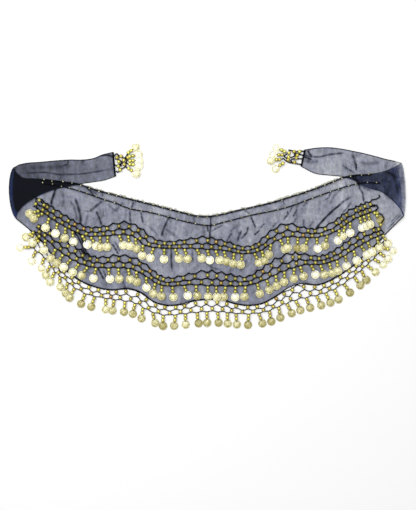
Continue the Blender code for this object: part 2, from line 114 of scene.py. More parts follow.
# Panel sections: top x, top y, hem x, hem y, outward bow
PANEL = (
    (-405, 136, -396, 26, -8), (-383, 135, -374, 8, -2), (-352, 133, -348, -25, 0),
    (-319, 129, -317, -61, 0), (-284, 124, -282, -88, 0), (-249, 112, -246, -103, 0),
    (-211, 102, -211, -109, 0), (-174, 92, -176, -106, 0), (-145, 85, -147, -115, 0),
    (-119, 78, -119, -135, 0), (-88, 70, -88, -143, 0), (-57, 62, -57, -140, 0),
    (-29, 55, -29, -132, 0), (0, 53, 0, -130, 0), (31, 58, 29, -130, 0), (59, 65, 59, -139, 0),
    (90, 72, 90, -143, 0), (121, 79, 121, -138, 0), (152, 87, 152, -121, 0),
    (180, 96, 180, -103, 0), (209, 105, 209, -95, 0), (240, 116, 240, -98, 0),
    (271, 128, 271, -87, 0), (299, 139, 299, -70, 0), (328, 144, 326, -50, 0),
    (354, 145, 350, -26, 0), (381, 149, 374, -4, 0), (403, 157, 398, 21, 2),
)

# Rolled folds: top x, top y, hem x, hem y, bow, height
LEFT_FOLD = (
    (-419, 146, -411, 39, -11, 4.6), (-425, 154, -420, 46, -12, 5.0),
    (-427, 159, -422, 49, -13, 2.8), (-424, 161, -421, 55, -12, 1.0),
    (-417, 165, -418, 63, -10, 0.6),
)
RIGHT_FOLD = (
    (416, 163, 420, 43, 6, 4.6), (422, 167, 428, 51, 7, 5.0), (425, 169, 430, 54, 7, 2.8),
    (421, 170, 428, 59, 7, 1.0), (411, 173, 424, 69, 6, 0.6),
)

# The rows of the panel's grid between its two folds
UNFOLDED = slice(len(LEFT_FOLD) * PANEL_STEPS, -len(RIGHT_FOLD) * PANEL_STEPS)

# Tie sections after the fold: upper x, upper y, lower x, lower y, bow
LEFT_TIE = (
    (-417, 165, -418, 63, -10), (-398, 169, -405, 78, -4), (-370, 171, -374, 98, 0),
    (-337, 174, -339, 112, 0), (-306, 176, -308, 119, 0), (-277, 176, -279, 124, 0),
    (-253, 179, -251, 128, 0), (-233, 187, -227, 132, 0), (-209, 193, -204, 140, 0),
)
RIGHT_TIE = (
    (411, 173, 424, 69, 6), (392, 177, 407, 87, 2), (370, 183, 381, 107, 0),
    (343, 190, 350, 116, 0), (319, 195, 321, 132, 0), (293, 200, 293, 140, 0),
    (266, 203, 264, 143, 0), (238, 202, 235, 147, 0), (213, 198, 205, 162, 0),
)

# Net sections: upper cord x and y, lower cord x and y
UPPER_NET = (
    (-373, 90, -383, 75), (-351, 76, -362, 60), (-321, 56, -331, 39), (-270, 28, -275, 11),
    (-229, 28, -228, 9), (-184, 37, -185, 12), (-152, 26, -160, 6), (-137, 14, -145, -8),
    (-119, 1, -126, -15), (-88, -5, -88, -18), (-44, 0, -44, -18), (-6, 4, -7, -20),
    (39, -5, 36, -23), (77, -16, 77, -30), (107, -9, 113, -24), (135, 15, 146, -4),
    (170, 33, 174, 7), (208, 26, 206, 6), (236, 23, 239, 6), (269, 34, 277, 17),
    (312, 64, 322, 46), (363, 86, 372, 66),
)
MIDDLE_NET = (
    (-374, 34, -383, 20), (-350, 22, -363, 8), (-319, 0, -332, -20), (-285, -22, -296, -44),
    (-257, -37, -263, -58), (-229, -40, -229, -61), (-195, -36, -196, -61),
    (-159, -43, -167, -64), (-127, -64, -137, -79), (-107, -79, -113, -95),
    (-83, -85, -84, -101), (-41, -77, -39, -98), (-2, -71, -2, -100), (38, -76, 36, -101),
    (82, -83, 85, -100), (112, -69, 121, -89), (145, -47, 155, -73), (183, -32, 187, -61),
    (216, -34, 216, -54), (247, -37, 250, -53), (280, -23, 288, -41), (316, 2, 326, -17),
    (348, 21, 356, 0), (376, 27, 385, 14),
)
HEM_NET = (
    (-392, 23, -394, -13), (-370, 2, -376, -25), (-348, -21, -354, -44), (-321, -50, -337, -69),
    (-299, -71, -315, -87), (-275, -90, -288, -108), (-249, -103, -260, -121),
    (-211, -109, -218, -129), (-176, -106, -180, -134), (-147, -115, -156, -140),
    (-119, -135, -128, -156), (-88, -143, -92, -165), (-57, -140, -55, -162),
    (-29, -132, -26, -159), (0, -130, 2, -157), (29, -130, 31, -158), (59, -139, 59, -161),
    (90, -143, 92, -162), (121, -138, 128, -157), (152, -121, 158, -145),
    (180, -103, 189, -133), (209, -95, 216, -126), (240, -98, 244, -120), (271, -87, 277, -108),
    (299, -70, 312, -86), (326, -50, 341, -62), (350, -26, 365, -40), (370, -9, 381, -20),
    (385, 6, 388, -7),
)
LEFT_END_NET = (
    (-202, 188, -179, 192), (-201, 179, -177, 183), (-202, 169, -176, 173),
    (-202, 160, -177, 165), (-200, 150, -179, 157),
)
RIGHT_END_NET = (
    (211, 197, 175, 196), (209, 188, 168, 187), (206, 179, 162, 178), (202, 172, 167, 172),
    (201, 165, 176, 167),
)

# Drops of each net: distance along its lower cord, and lean from straight down in degrees,
# to the right where positive
UPPER_DROPS = (
    (18, -75), (27, -61), (43, -19), (64, -9), (84, -3), (101, 5), (124, 29), (143, 30),
    (164, 2), (181, -3), (206, 21), (226, 8), (243, 5), (266, -5), (290, -17), (314, -3),
    (336, 23), (358, 15), (384, 29), (408, 13), (426, 21), (445, 12), (467, -4), (486, -9),
    (512, 25), (529, 15), (555, -14), (576, 27), (595, -3), (616, -2), (639, -21), (657, 8),
    (682, -13), (711, -6), (726, -12), (740, 0), (763, 15), (773, 15), (784, 8), (796, 40),
)
MIDDLE_DROPS = (
    (4, -62), (18, -47), (32, -8), (62, -24), (83, -34), (104, -43), (124, -36), (144, -36),
    (162, -15), (189, 7), (211, 3), (232, 10), (251, 3), (276, 1), (300, -10), (316, -4),
    (339, 5), (364, 21), (390, 9), (416, 5), (435, 4), (456, -10), (477, 0), (500, -6),
    (526, 14), (548, 16), (570, 7), (592, -3), (614, -1), (627, 21), (652, 24), (672, 23),
    (692, 17), (710, 7), (732, 6), (752, 18), (772, 31), (788, 23), (812, 12), (824, 34),
)
HEM_DROPS = (
    (6, -90), (19, -23), (42, -15), (64, -24), (82, -27), (96, 2), (118, -11), (138, -29),
    (164, -22), (187, -21), (211, -2), (230, -11), (253, -5), (276, -12), (296, -8),
    (320, 12), (343, 0), (371, -8), (393, 0), (418, 9), (440, 1), (464, 4), (485, 2),
    (504, 5), (532, -3), (554, 20), (578, 11), (600, 10), (620, 26), (640, 26), (664, 22),
    (687, 27), (708, 27), (729, 23), (753, 35), (780, 37), (801, 29), (818, 52), (838, 61),
    (856, 58), (870, 73),
)
LEFT_END_DROPS = ((3, 128), (10, 103), (18, 90), (25, 81), (33, 57))
RIGHT_END_DROPS = ((4, -113), (12, -93), (23, -84), (32, -54))

SECOND_CHAIN = (
    (-365, 125), (-321, 118), (-277, 106), (-231, 90), (-202, 81), (-172, 69), (-128, 61),
    (-88, 51), (-51, 41), (0, 32), (37, 40), (92, 54), (141, 64), (180, 74), (224, 90),
    (268, 106), (312, 120), (345, 126), (378, 125),
)
WAIST_CHAIN_ENDS = (-375.0, 365.0)
WAIST_CHAIN_INSET = 2.0
STITCHED = (-272.0, 365.0)

# Creases of the panel: height, half width, extra plies, then the places it runs through
PANEL_CREASES = (
    (0.8, 1.5, 3.00, (-334, 117), (-338, 103), (-344, 86), (-345, 76)),
    (0.8, 2.2, 1.30, (-293, 92), (-288, 81), (-283, 62), (-280, 48), (-282, 31)),
    (0.5, 2.6, 0.25, (-315, 96), (-304, 95), (-293, 97)),
    (0.5, 2.6, 0.50, (-306, 88), (-295, 75), (-290, 57), (-288, 40)),
    (0.4, 3.0, 0.40, (-321, 110), (-317, 88), (-321, 70)),
    (0.7, 1.7, 1.30, (-231, 86), (-244, 77), (-251, 70), (-260, 64)),
    (0.4, 1.5, 0.60, (-255, 65), (-262, 63), (-271, 64)),
    (0.6, 1.6, 1.30, (-246, 64), (-241, 53), (-238, 44), (-233, 31)),
    (0.4, 2.2, 0.50, (-264, 57), (-268, 40), (-271, 26)),
    (0.6, 1.3, 1.70, (-268, 117), (-260, 108), (-249, 95)),
    (0.5, 1.3, 0.90, (-264, 114), (-253, 106), (-244, 101)),
    (0.5, 1.6, 0.80, (-231, 110), (-233, 95)),
    (0.4, 2.2, 0.40, (-222, 79), (-209, 68), (-198, 62)),
    (0.4, 2.2, 0.35, (-216, 57), (-198, 70), (-185, 86)),
    (0.7, 1.4, 2.30, (-297, 22), (-286, 7), (-279, -7), (-274, -22), (-266, -40)),
    (0.6, 1.3, 1.90, (-288, 22), (-279, 6), (-273, -11), (-268, -26), (-260, -42)),
    (0.5, 1.5, 1.30, (-284, -22), (-277, -35), (-273, -48)),
    (0.6, 1.6, 1.70, (-242, -62), (-235, -75), (-229, -88)),
    (0.5, 1.3, 1.00, (-231, -66), (-224, -81), (-222, -92)),
    (0.5, 1.6, 1.40, (-211, -7), (-205, -18), (-197, -31)),
    (0.4, 1.4, 0.90, (-205, -4), (-198, -15), (-194, -26)),
    (0.5, 1.4, 1.30, (-163, 84), (-166, 77), (-169, 70)),
    (0.5, 1.8, 0.90, (-172, 66), (-172, 48), (-169, 33)),
    (0.5, 1.6, 1.10, (-148, 62), (-146, 51), (-143, 37)),
    (0.7, 1.5, 1.60, (-84, 51), (-90, 42), (-95, 31), (-100, 18), (-103, 7)),
    (0.4, 2.4, 0.35, (-92, 24), (-77, 13), (-66, 4)),
    (0.4, 2.4, 0.35, (-132, 31), (-119, 20), (-110, 9)),
    (0.6, 1.6, 1.30, (-81, -18), (-81, -44), (-79, -70)),
    (0.4, 2.0, 0.70, (-35, -22), (-33, -48)),
    (0.7, 1.3, 2.00, (6, 55), (6, 31), (4, 15), (4, 0)),
    (0.5, 1.8, 1.20, (-2, 33), (0, 18)),
    (0.5, 1.5, 0.80, (7, 19), (18, 26), (33, 33)),
    (0.4, 2.0, 0.45, (-33, 53), (-29, 37)),
    (0.4, 3.0, 0.35, (-11, 31), (-7, 7)),
    (0.5, 1.3, 1.60, (94, 52), (99, 40), (105, 26)),
    (0.4, 1.4, 0.60, (79, 66), (88, 61), (92, 53)),
    (0.5, 1.5, 0.90, (125, 37), (114, 26)),
    (0.5, 1.4, 1.50, (114, 22), (106, 15), (101, 10)),
    (0.6, 1.5, 1.40, (88, 31), (86, 18), (79, 9), (73, 2)),
    (0.5, 1.4, 1.40, (74, 22), (68, 9), (64, -4)),
    (0.5, 1.4, 1.20, (53, 15), (46, 7), (41, -4)),
    (0.4, 2.0, 0.50, (62, 31), (48, 18)),
    (0.5, 1.4, 1.30, (174, 66), (176, 57), (169, 48), (165, 44)),
    (0.4, 1.3, 0.90, (187, 77), (180, 62)),
    (0.5, 1.4, 1.10, (196, 68), (187, 51)),
    (0.4, 1.4, 0.70, (165, 88), (167, 77)),
    (0.4, 1.6, 0.70, (220, 84), (207, 73)),
    (0.4, 1.5, 0.80, (194, 48), (187, 35)),
    (0.4, 1.5, 0.70, (211, 46), (209, 31)),
    (0.4, 1.5, 0.70, (231, 42), (222, 26)),
    (0.4, 1.8, 0.60, (156, 42), (141, 29)),
    (0.9, 1.5, 2.60, (235, 22), (246, 36), (262, 53), (279, 69), (293, 79)),
    (0.6, 1.9, 0.90, (286, 75), (299, 86), (315, 95)),
    (0.5, 1.4, 0.90, (315, 84), (306, 70), (295, 59)),
    (0.4, 1.6, 0.60, (271, 106), (266, 95), (255, 86)),
    (0.4, 2.4, 0.45, (295, 114), (277, 97), (268, 79)),
    (0.6, 1.4, 1.40, (331, 121), (334, 112), (340, 103), (343, 81)),
    (0.5, 1.3, 0.90, (334, 121), (348, 112), (359, 108)),
    (0.4, 1.8, 0.50, (301, 132), (304, 117)),
    (0.3, 1.1, 0.90, (425, 57), (405, 35), (396, 26)),
    (0.3, 1.1, 0.70, (420, 58), (400, 37)),
    (0.8, 2.4, 2.60, (317, 140), (328, 130), (334, 119)),
    (0.5, 2.4, 1.00, (385, 152), (400, 147), (414, 136)),
    (0.4, 2.6, 0.80, (405, 150), (414, 123), (418, 97)),
    (0.4, 2.4, 0.50, (-7, -48), (11, -62), (31, -66)),
    (0.4, 2.6, 0.50, (86, -40), (79, -57), (70, -70)),
    (0.4, 2.4, 0.50, (-150, -70), (-136, -88), (-123, -106)),
    (0.4, 2.2, 0.60, (-194, -77), (-185, -97), (-180, -114)),
)
LEFT_TIE_CREASES = (
    (0.8, 1.6, 0.75, (-412, 147), (-360, 149), (-326, 144), (-282, 145), (-240, 151),
     (-208, 158)),
    (0.7, 1.8, 1.50, (-244, 184), (-232, 187), (-214, 186), (-208, 180)),
    (0.7, 1.5, 1.00, (-308, 176), (-309, 166), (-321, 164)),
    (0.7, 1.5, 0.90, (-272, 177), (-278, 170)),
    (0.5, 4.5, 0.35, (-396, 160), (-350, 160), (-300, 162)),
)
RIGHT_TIE_CREASES = (
    (0.8, 1.6, 1.70, (219, 198), (223, 190), (229, 183)),
    (0.8, 1.6, 1.70, (208, 183), (216, 182), (222, 179), (228, 177)),
    (0.6, 1.4, 1.00, (210, 188), (220, 185), (227, 182)),
    (0.7, 1.9, 0.90, (226, 183), (246, 183), (266, 188), (301, 192)),
    (0.5, 4.4, 0.50, (213, 174), (229, 172), (244, 174)),
    (0.5, 2.0, 0.80, (317, 191), (322, 174), (326, 156)),
    (0.5, 1.4, 1.80, (326, 169), (326, 154)),
    (0.4, 1.6, 0.80, (295, 165), (312, 154), (323, 147)),
    (0.4, 3.6, 0.35, (380, 170), (352, 168), (330, 172)),
)

# Painted light: how much lighter a gold the beads over the pale floor get, as if lit from the
# floor, to look as in the photograph
PAINTED_FLOOR_GLOW = 1.28

# How bright each coin of a net looks, judged one by one, in the order of its drops:
# 0.1 dark khaki, 0.5 khaki, 0.9 pale gold, 1.3 white
# Each coin's tone is painted reflection and shade: its colour copies how much light it catches
COIN_TONES = {
    "band_upper": (
        0.55, 0.50, 0.90, 1.30, 0.55, 1.20, 1.30, 0.95, 0.55, 0.75, 0.90, 0.90, 0.50, 0.85,
        1.05, 1.10, 0.75, 0.60, 0.90, 1.40, 0.80, 0.55, 0.60, 0.60, 0.75, 0.55, 0.55, 0.80,
        0.80, 0.10, 0.50, 1.30, 0.55, 1.30, 0.90, 1.30, 1.30, 1.20, 0.90, 0.15,
    ),
    "band_middle": (
        0.75, 0.90, 1.00, 0.60, 0.50, 1.15, 0.90, 0.65, 1.15, 1.20, 0.70, 0.65, 0.45, 1.15,
        0.70, 0.50, 0.80, 1.30, 0.50, 0.95, 0.90, 0.55, 1.30, 0.55, 0.60, 0.60, 0.60, 0.60,
        0.60, 0.65, 1.30, 0.60, 0.60, 0.80, 1.20, 1.20, 1.20, 1.20, 0.95, 0.95,
    ),
    "band_hem": (
        1.20, 1.20, 1.05, 0.80, 0.95, 0.75, 0.55, 0.50, 0.25, 0.35, 0.80, 0.50, 0.35, 0.35,
        0.50, 0.50, 0.20, 0.40, 0.70, 0.10, 0.30, 0.30, 0.50, 0.60, 0.25, 0.35, 0.25, 0.40,
        0.45, 0.45, 0.40, 0.40, 0.40, 0.45, 0.25, 0.45, 0.30, 0.90, 1.05, 1.15, 1.20,
    ),
    "fringe_left": (0.95, 1.05, 1.20, 1.20, 1.10),
    "fringe_right": (1.20, 1.25, 1.10, 1.10),
}

# The tangled cords and bar beads of the two end nets: x and y
END_CORDS = {
    "fringe_left": (
        ((-207, 184), (-200, 190), (-195, 183), (-189, 182), (-183, 180), (-178, 187), (-174, 193)),
        ((-204, 178), (-197, 177), (-191, 173), (-188, 170), (-192, 167), (-190, 162)),
        ((-184, 181), (-178, 176), (-180, 170), (-174, 166), (-169, 163)),
        ((-191, 157), (-186, 158), (-182, 161), (-180, 165)),
        ((-205, 165), (-198, 164), (-192, 167)),
        ((-202, 152), (-198, 149), (-194, 154)),
        ((-180, 170), (-181, 163), (-177, 157)),
    ),
    "fringe_right": (
        ((211, 195), (200, 196), (195, 194), (187, 196), (181, 197), (177, 198)),
        ((177, 193), (174, 190), (170, 187), (168, 184), (171, 181), (175, 179)),
        ((209, 186), (198, 189), (190, 190), (191, 186), (187, 183), (182, 181)),
        ((208, 179), (196, 178), (186, 178), (182, 174), (185, 171), (190, 169)),
        ((162, 178), (166, 179), (170, 175), (175, 172), (180, 170), (187, 169), (205, 166)),
    ),
}
END_BEADS = {
    "fringe_left": (
        (-200, 181), (-191, 184), (-196, 172), (-197, 162), (-193, 154), (-185, 175),
        (-184, 166), (-176, 181),
    ),
    "fringe_right": (
        (201, 194), (196, 186), (194, 180), (190, 171), (189, 194), (178, 191), (177, 182),
        (176, 176),
    ),
}

# Loose ends of cord past the nets, and the beads on them: x and y
LOOSE_CORDS = {
    "band_upper": (
        ((361, 88), (370, 90), (378, 95), (375, 99)),
        ((361, 77), (370, 77), (374, 70), (363, 62)),
        ((366, 60), (381, 57), (387, 47), (381, 37), (378, 31)),
        ((-383, 95), (-374, 90), (-361, 79)),
        ((-378, 92), (-378, 79), (-376, 68)),
    ),
    "band_middle": (((376, 29), (381, 22), (387, 15)),),
    "band_hem": (((386, -3), (386, -11)),),
}
LOOSE_BEADS = {
    "band_upper": ((-370, 87), (-378, 79), (371, 59), (379, 33)),
}

# Where the hem cord hangs a little off the cloth: first x, last x, how far in shares of depth
HEM_SLACK = ((-60, -40, 0.10), (165, 194, 0.14), (196, 214, 0.12))


def smooth(rows, steps):
    """The rows of a table with a smooth run of steps from each row to the next."""
    table = np.array(rows, dtype=float)
    last = len(table) - 1
    slopes = []
    for place in range(len(table)):
        before = max(place - 1, 0)
        after = min(place + 1, last)
        slopes.append((table[after] - table[before]) / (after - before))
    run = []
    for place in range(last):
        for step in range(steps):
            t = step / steps
            run.append(
                (2 * t**3 - 3 * t**2 + 1) * table[place]
                + (t**3 - 2 * t**2 + t) * slopes[place]
                + (3 * t**2 - 2 * t**3) * table[place + 1]
                + (t**3 - t**2) * slopes[place + 1]
            )
    run.append(table[last])
    return np.array(run)


def ease(share):
    """A soft step from 0 to 1."""
    share = np.clip(share, 0.0, 1.0)
    return share * share * (3.0 - 2.0 * share)


def on_sections(sections, columns):
    """x and y of the places on ruled sections, which bow outwards between their ends."""
    share = np.linspace(0.0, 1.0, columns)[None, :]
    swell = (4.0 * share * (1.0 - share)) ** 0.6
    top_x, top_y, low_x, low_y, bow = (sections[:, index:index + 1] for index in range(5))
    return (
        top_x + (low_x - top_x) * share + bow * swell,
        top_y + (low_y - top_y) * share,
    )


def distance_to_path(path, x, y):
    """Distances from places to an open path, and how far along it they lie, from 0 to 1."""
    nearest = np.full(x.shape, np.inf)
    along = np.zeros(x.shape)
    steps = [math.dist(a, b) for a, b in zip(path, path[1:])]
    total = sum(steps)
    start = 0.0
    for (ax, ay), (bx, by), step in zip(path, path[1:], steps):
        share = ((x - ax) * (bx - ax) + (y - ay) * (by - ay)) / (step * step)
        share = np.clip(share, 0.0, 1.0)
        away = np.hypot(ax + (bx - ax) * share - x, ay + (by - ay) * share - y)
        closer = away < nearest
        nearest = np.where(closer, away, nearest)
        along = np.where(closer, (start + share * step) / total, along)
        start += step
    return nearest, along


def inside(outline, x, y):
    """Whether places lie inside an outline."""
    found = np.zeros(x.shape, dtype=bool)
    for index, (bx, by) in enumerate(outline):
        ax, ay = outline[index - 1]
        if ay == by:
            continue
        crosses = (ay > y) != (by > y)
        found ^= crosses & (x < (bx - ax) * (y - ay) / (by - ay) + ax)
    return found


def outline_of(x, y):
    """The outline of a grid of places."""
    edge_x = np.concatenate([x[0, :], x[1:, -1], x[-1, -2::-1], x[-2:0:-1, 0]])
    edge_y = np.concatenate([y[0, :], y[1:, -1], y[-1, -2::-1], y[-2:0:-1, 0]])
    return list(zip(edge_x.tolist(), edge_y.tolist()))


def distance_to_outline(outline, x, y):
    """Distances from places to an outline, and 0 inside it."""
    away = distance_to_path(outline + outline[:1], x, y)[0]
    return np.where(inside(outline, x, y), 0.0, away)


def nearest_on(path, x, y):
    """The place on an open path that is nearest to x and y."""
    best = None
    for (ax, ay), (bx, by) in zip(path, path[1:]):
        run = (bx - ax) ** 2 + (by - ay) ** 2
        share = min(max(((x - ax) * (bx - ax) + (y - ay) * (by - ay)) / run, 0.0), 1.0)
        place = (ax + (bx - ax) * share, ay + (by - ay) * share)
        away = math.dist(place, (x, y))
        if best is None or away < best[0]:
            best = (away, place)
    return best[1]


def beside(path, offset):
    """A path moved sideways by offset, to the right of its run."""
    places = np.array(path, dtype=float)
    run = np.gradient(places, axis=0)
    run /= np.linalg.norm(run, axis=1)[:, None]
    return places + offset * np.stack([run[:, 1], -run[:, 0]], axis=1)


def distances(path):
    """How far along a path each of its places lies."""
    steps = np.linalg.norm(np.diff(path, axis=0), axis=1)
    return np.concatenate([[0.0], np.cumsum(steps)])


def spread(path, step):
    """A path with places at an even step along it."""
    places = np.array(path, dtype=float)
    along = distances(places)
    count = max(int(round(along[-1] / step)), 1)
    stops = np.linspace(0.0, along[-1], count + 1)
    return np.stack([np.interp(stops, along, column) for column in places.T], axis=1)


class Laid:
    """The solids that lie on the floor already, for finding the height of their tops."""

    def __init__(self, *names):
        self.trees = [self.tree(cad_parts[name].data) for name in names]

    @staticmethod
    def tree(mesh):
        corners = [Vector(v.co) / MM + Vector(CENTRE) for v in mesh.vertices]
        return BVHTree.FromPolygons(corners, [tuple(p.vertices) for p in mesh.polygons])

    def top_at(self, x, y):
        top = 0.0
        for tree in self.trees:
            hit = tree.ray_cast(Vector((x, y, HIGHEST)), Vector((0.0, 0.0, -1.0)))[0]
            if hit is not None:
                top = max(top, hit.z)
        return top

    def top_near(self, x, y, reach):
        top = self.top_at(x, y)
        for radius in (reach * 0.5, reach):
            for turn in range(RING_TURNS):
                angle = math.tau * turn / RING_TURNS
                near = (x + radius * math.cos(angle), y + radius * math.sin(angle))
                top = max(top, self.top_at(*near))
        return top


class Shape:
    """Points and faces gathered for one mesh, with a tone and a face place for each point."""

    def __init__(self):
        self.points = []
        self.faces = []
        self.tones = []
        self.places = []
        self.count = 0

    def add(self, points, faces, tone=0.5, places=None):
        points = np.asarray(points, dtype=float).reshape(-1, 3)
        self.points.append(points)
        self.faces += [tuple(corner + self.count for corner in face) for face in faces]
        tones = np.broadcast_to(np.asarray(tone, dtype=float), (len(points),))
        self.tones.append(tones)
        if places is None:
            places = np.zeros((len(points), 2))
        self.places.append(places)
        self.count += len(points)

    def build(self, name, finish):
        """Makes the mesh object, in metres, with its finish."""
        points = (np.concatenate(self.points) - CENTRE) * MM
        mesh = bpy.data.meshes.new(name)
        mesh.from_pydata(points.tolist(), [], self.faces)
        tone = mesh.attributes.new("tone", "FLOAT", "POINT")
        tone.data.foreach_set("value", np.concatenate(self.tones).astype(np.float32))
        corners = np.zeros(len(mesh.loops), dtype=np.int32)
        mesh.loops.foreach_get("vertex_index", corners)
        layer = mesh.uv_layers.new(name="face_place")
        layer.data.foreach_set("uv", np.concatenate(self.places)[corners].ravel())
        mesh.shade_smooth()
        mesh.materials.append(finish)
        piece = bpy.data.objects.new(name, mesh)
        bpy.context.scene.collection.objects.link(piece)
        return piece


def ring_faces(rings, sides):
    """Four sided faces between rings of points."""
    faces = []
    for ring in range(rings - 1):
        for side in range(sides):
            after = (side + 1) % sides
            faces.append((
                ring * sides + side, ring * sides + after,
                (ring + 1) * sides + after, (ring + 1) * sides + side,
            ))
    return faces


def add_yarn(shape, path, radius, strands=2, lay=5.0):
    """Yarn along a path, of strands that wind round each other, or of one plain strand."""
    path = np.asarray(path, dtype=float)
    run = np.gradient(path, axis=0)
    run /= np.maximum(np.linalg.norm(run, axis=1), 1e-9)[:, None]
    across = np.cross(run, (0.0, 0.0, 1.0))
    across /= np.maximum(np.linalg.norm(across, axis=1), 1e-9)[:, None]
    upward = np.cross(across, run)
    along = distances(path)
    own = radius if strands == 1 else radius * STRAND_SHARE
    off = 0.0 if strands == 1 else radius * STRAND_OFFSET
    angles = math.tau * np.arange(YARN_SIDES) / YARN_SIDES
    faces = ring_faces(len(path), YARN_SIDES)
    faces.append(tuple(range(YARN_SIDES))[::-1])
    faces.append(tuple(range((len(path) - 1) * YARN_SIDES, len(path) * YARN_SIDES)))
    for strand in range(strands):
        turn = math.tau * (along / lay + strand / strands)
        middle = path + off * (np.cos(turn)[:, None] * across + np.sin(turn)[:, None] * upward)
        ring = (
            np.cos(angles)[None, :, None] * across[:, None, :]
            + np.sin(angles)[None, :, None] * upward[:, None, :]
        )
        shape.add(middle[:, None, :] + own * ring, faces)


def turned(profile, sides):
    """A turned form from radius and height pairs, the first and last on its axis."""
    angles = math.tau * np.arange(sides) / sides
    points = [(0.0, 0.0, profile[0][1])]
    for radius, height in profile[1:-1]:
        points += [(radius * math.cos(a), radius * math.sin(a), height) for a in angles]
    points.append((0.0, 0.0, profile[-1][1]))
    rings = len(profile) - 2
    faces = [(0, 1 + (side + 1) % sides, 1 + side) for side in range(sides)]
    faces += [tuple(corner + 1 for corner in face[::-1]) for face in ring_faces(rings, sides)]
    start = 1 + (rings - 1) * sides
    end = len(points) - 1
    faces += [(start + side, start + (side + 1) % sides, end) for side in range(sides)]
    return np.array(points), faces


def bead_form():
    """A bead of radius 1 with full shoulders, a little flat at the two ends of its hole."""
    profile = [(0.0, -0.78), (0.28, -0.86), (0.62, -0.80), (0.86, -0.56), (0.97, -0.25),
               (1.0, 0.0), (0.97, 0.25), (0.86, 0.56), (0.62, 0.80), (0.28, 0.86), (0.0, 0.78)]
    return turned(profile, 14)


def coin_form(radius):
    """A thin coin with a raised rim and a face that swells to its middle."""
    profile = [(0.0, -0.30), (radius * 0.97, -0.30), (radius, -0.18), (radius, 0.20),
               (radius * 0.985, 0.30), (radius * 0.925, 0.30), (radius * 0.895, 0.14),
               (radius * 0.60, 0.26), (radius * 0.30, 0.40), (0.0, 0.45)]
    return turned(profile, 32)


def add_bead(shape, form, middle, radius, way, tone):
    """A bead at a place, with its hole along a way; its points carry how low they lie, for the
    painted shade on its low sides.
    """
    way = np.asarray(way, dtype=float)
    way = way / max(np.linalg.norm(way), 1e-9)
    across = np.cross(way, (0.0, 0.0, 1.0))
    across /= max(np.linalg.norm(across), 1e-9)
    upward = np.cross(across, way)
    turn = np.stack([across, upward, way])
    points, faces = form
    turned_points = points @ turn
    depth = 1.0 - np.clip(turned_points[:, 2], 0.0, 1.0)
    places = np.stack([depth, depth], axis=1)
    shape.add(turned_points * radius + np.asarray(middle), faces, tone, places)


def add_coin(shape, form, radius, middle, turn, tilt, tilt_way, tone):
    """A coin lying at a place, turned and tilted a little, with painted light and shade: lighter on
    its upper left, duller on its lower right.
    """
    points, faces = form
    places = points[:, :2] / (2.0 * radius) + 0.5
    c, s = math.cos(turn), math.sin(turn)
    flat = points @ np.array([[c, s, 0.0], [-s, c, 0.0], [0.0, 0.0, 1.0]])
    lean = np.array([math.cos(tilt_way), math.sin(tilt_way)]) * math.tan(tilt)
    # Painted light and shade: the tone rises towards the upper left of the coin and falls towards
    # its lower right
    tones = tone + COIN_PAINTED_SHADING * (flat[:, 1] - 0.7 * flat[:, 0]) / radius
    flat[:, 2] += flat[:, :2] @ lean
    shape.add(flat + np.asarray(middle), faces, tones, places)


class Rails:
    """The upper and lower cord of a net, found by the distance along the lower one."""

    STEPS = 8
    STRIP_STOPS = 160
    STRIP_SHARES = (-0.06, 1.06)

    def __init__(self, table, drops, edge=None):
        run = smooth(table, self.STEPS)
        self.upper = run[:, 0:2]
        self.lower = run[:, 2:4]
        if edge is not None:
            moved = [self.from_edge(edge, a, b) for a, b in zip(self.upper, self.lower)]
            self.upper = np.array(moved)
        self.along = distances(self.lower)
        self.length = float(self.along[-1])
        self.drops = [float(distance) for distance, lean in drops]
        self.leans = [lean for distance, lean in drops]
        self.between = [(a + b) / 2 for a, b in zip(self.drops, self.drops[1:])]

    @staticmethod
    def from_edge(edge, upper, lower):
        """The middle of the upper cord where it runs beside a cloth edge."""
        x, y = nearest_on(edge, *upper)
        share = (CORD / 2 + GAP) / math.dist((x, y), lower)
        return (x + (lower[0] - x) * share, y + (lower[1] - y) * share)

    def place(self, distance, share):
        """Places between the cords: share 0 on the upper one, 1 on the lower one."""
        distance = np.asarray(distance, dtype=float)
        upper = [np.interp(distance, self.along, column) for column in self.upper.T]
        lower = [np.interp(distance, self.along, column) for column in self.lower.T]
        return (
            upper[0] + (lower[0] - upper[0]) * share,
            upper[1] + (lower[1] - upper[1]) * share,
        )

    def between_drops(self, distance):
        """0 at a drop and 1 midway to the next one."""
        count = np.arange(len(self.drops), dtype=float)
        phase = np.interp(distance, self.drops, count)
        before = distance < self.drops[0]
        after = distance > self.drops[-1]
        pitch = self.length / len(self.drops)
        phase = np.where(before, (distance - self.drops[0]) / pitch, phase)
        phase = np.where(after, (distance - self.drops[-1]) / pitch, phase)
        return 1.0 - np.abs(2.0 * (phase % 1.0) - 1.0)

    def strip(self, height):
        """The net's top as a plain strip, for laying coins over its cords."""
        stops = np.linspace(0.0, self.length, self.STRIP_STOPS)
        points = []
        for share in self.STRIP_SHARES:
            x, y = self.place(stops, share)
            points += [Vector((a, b, height(a, b))) for a, b in zip(x, y)]
        count = len(stops)
        faces = [(i, i + 1, i + 1 + count, i + count) for i in range(count - 1)]
        return BVHTree.FromPolygons(points, faces)


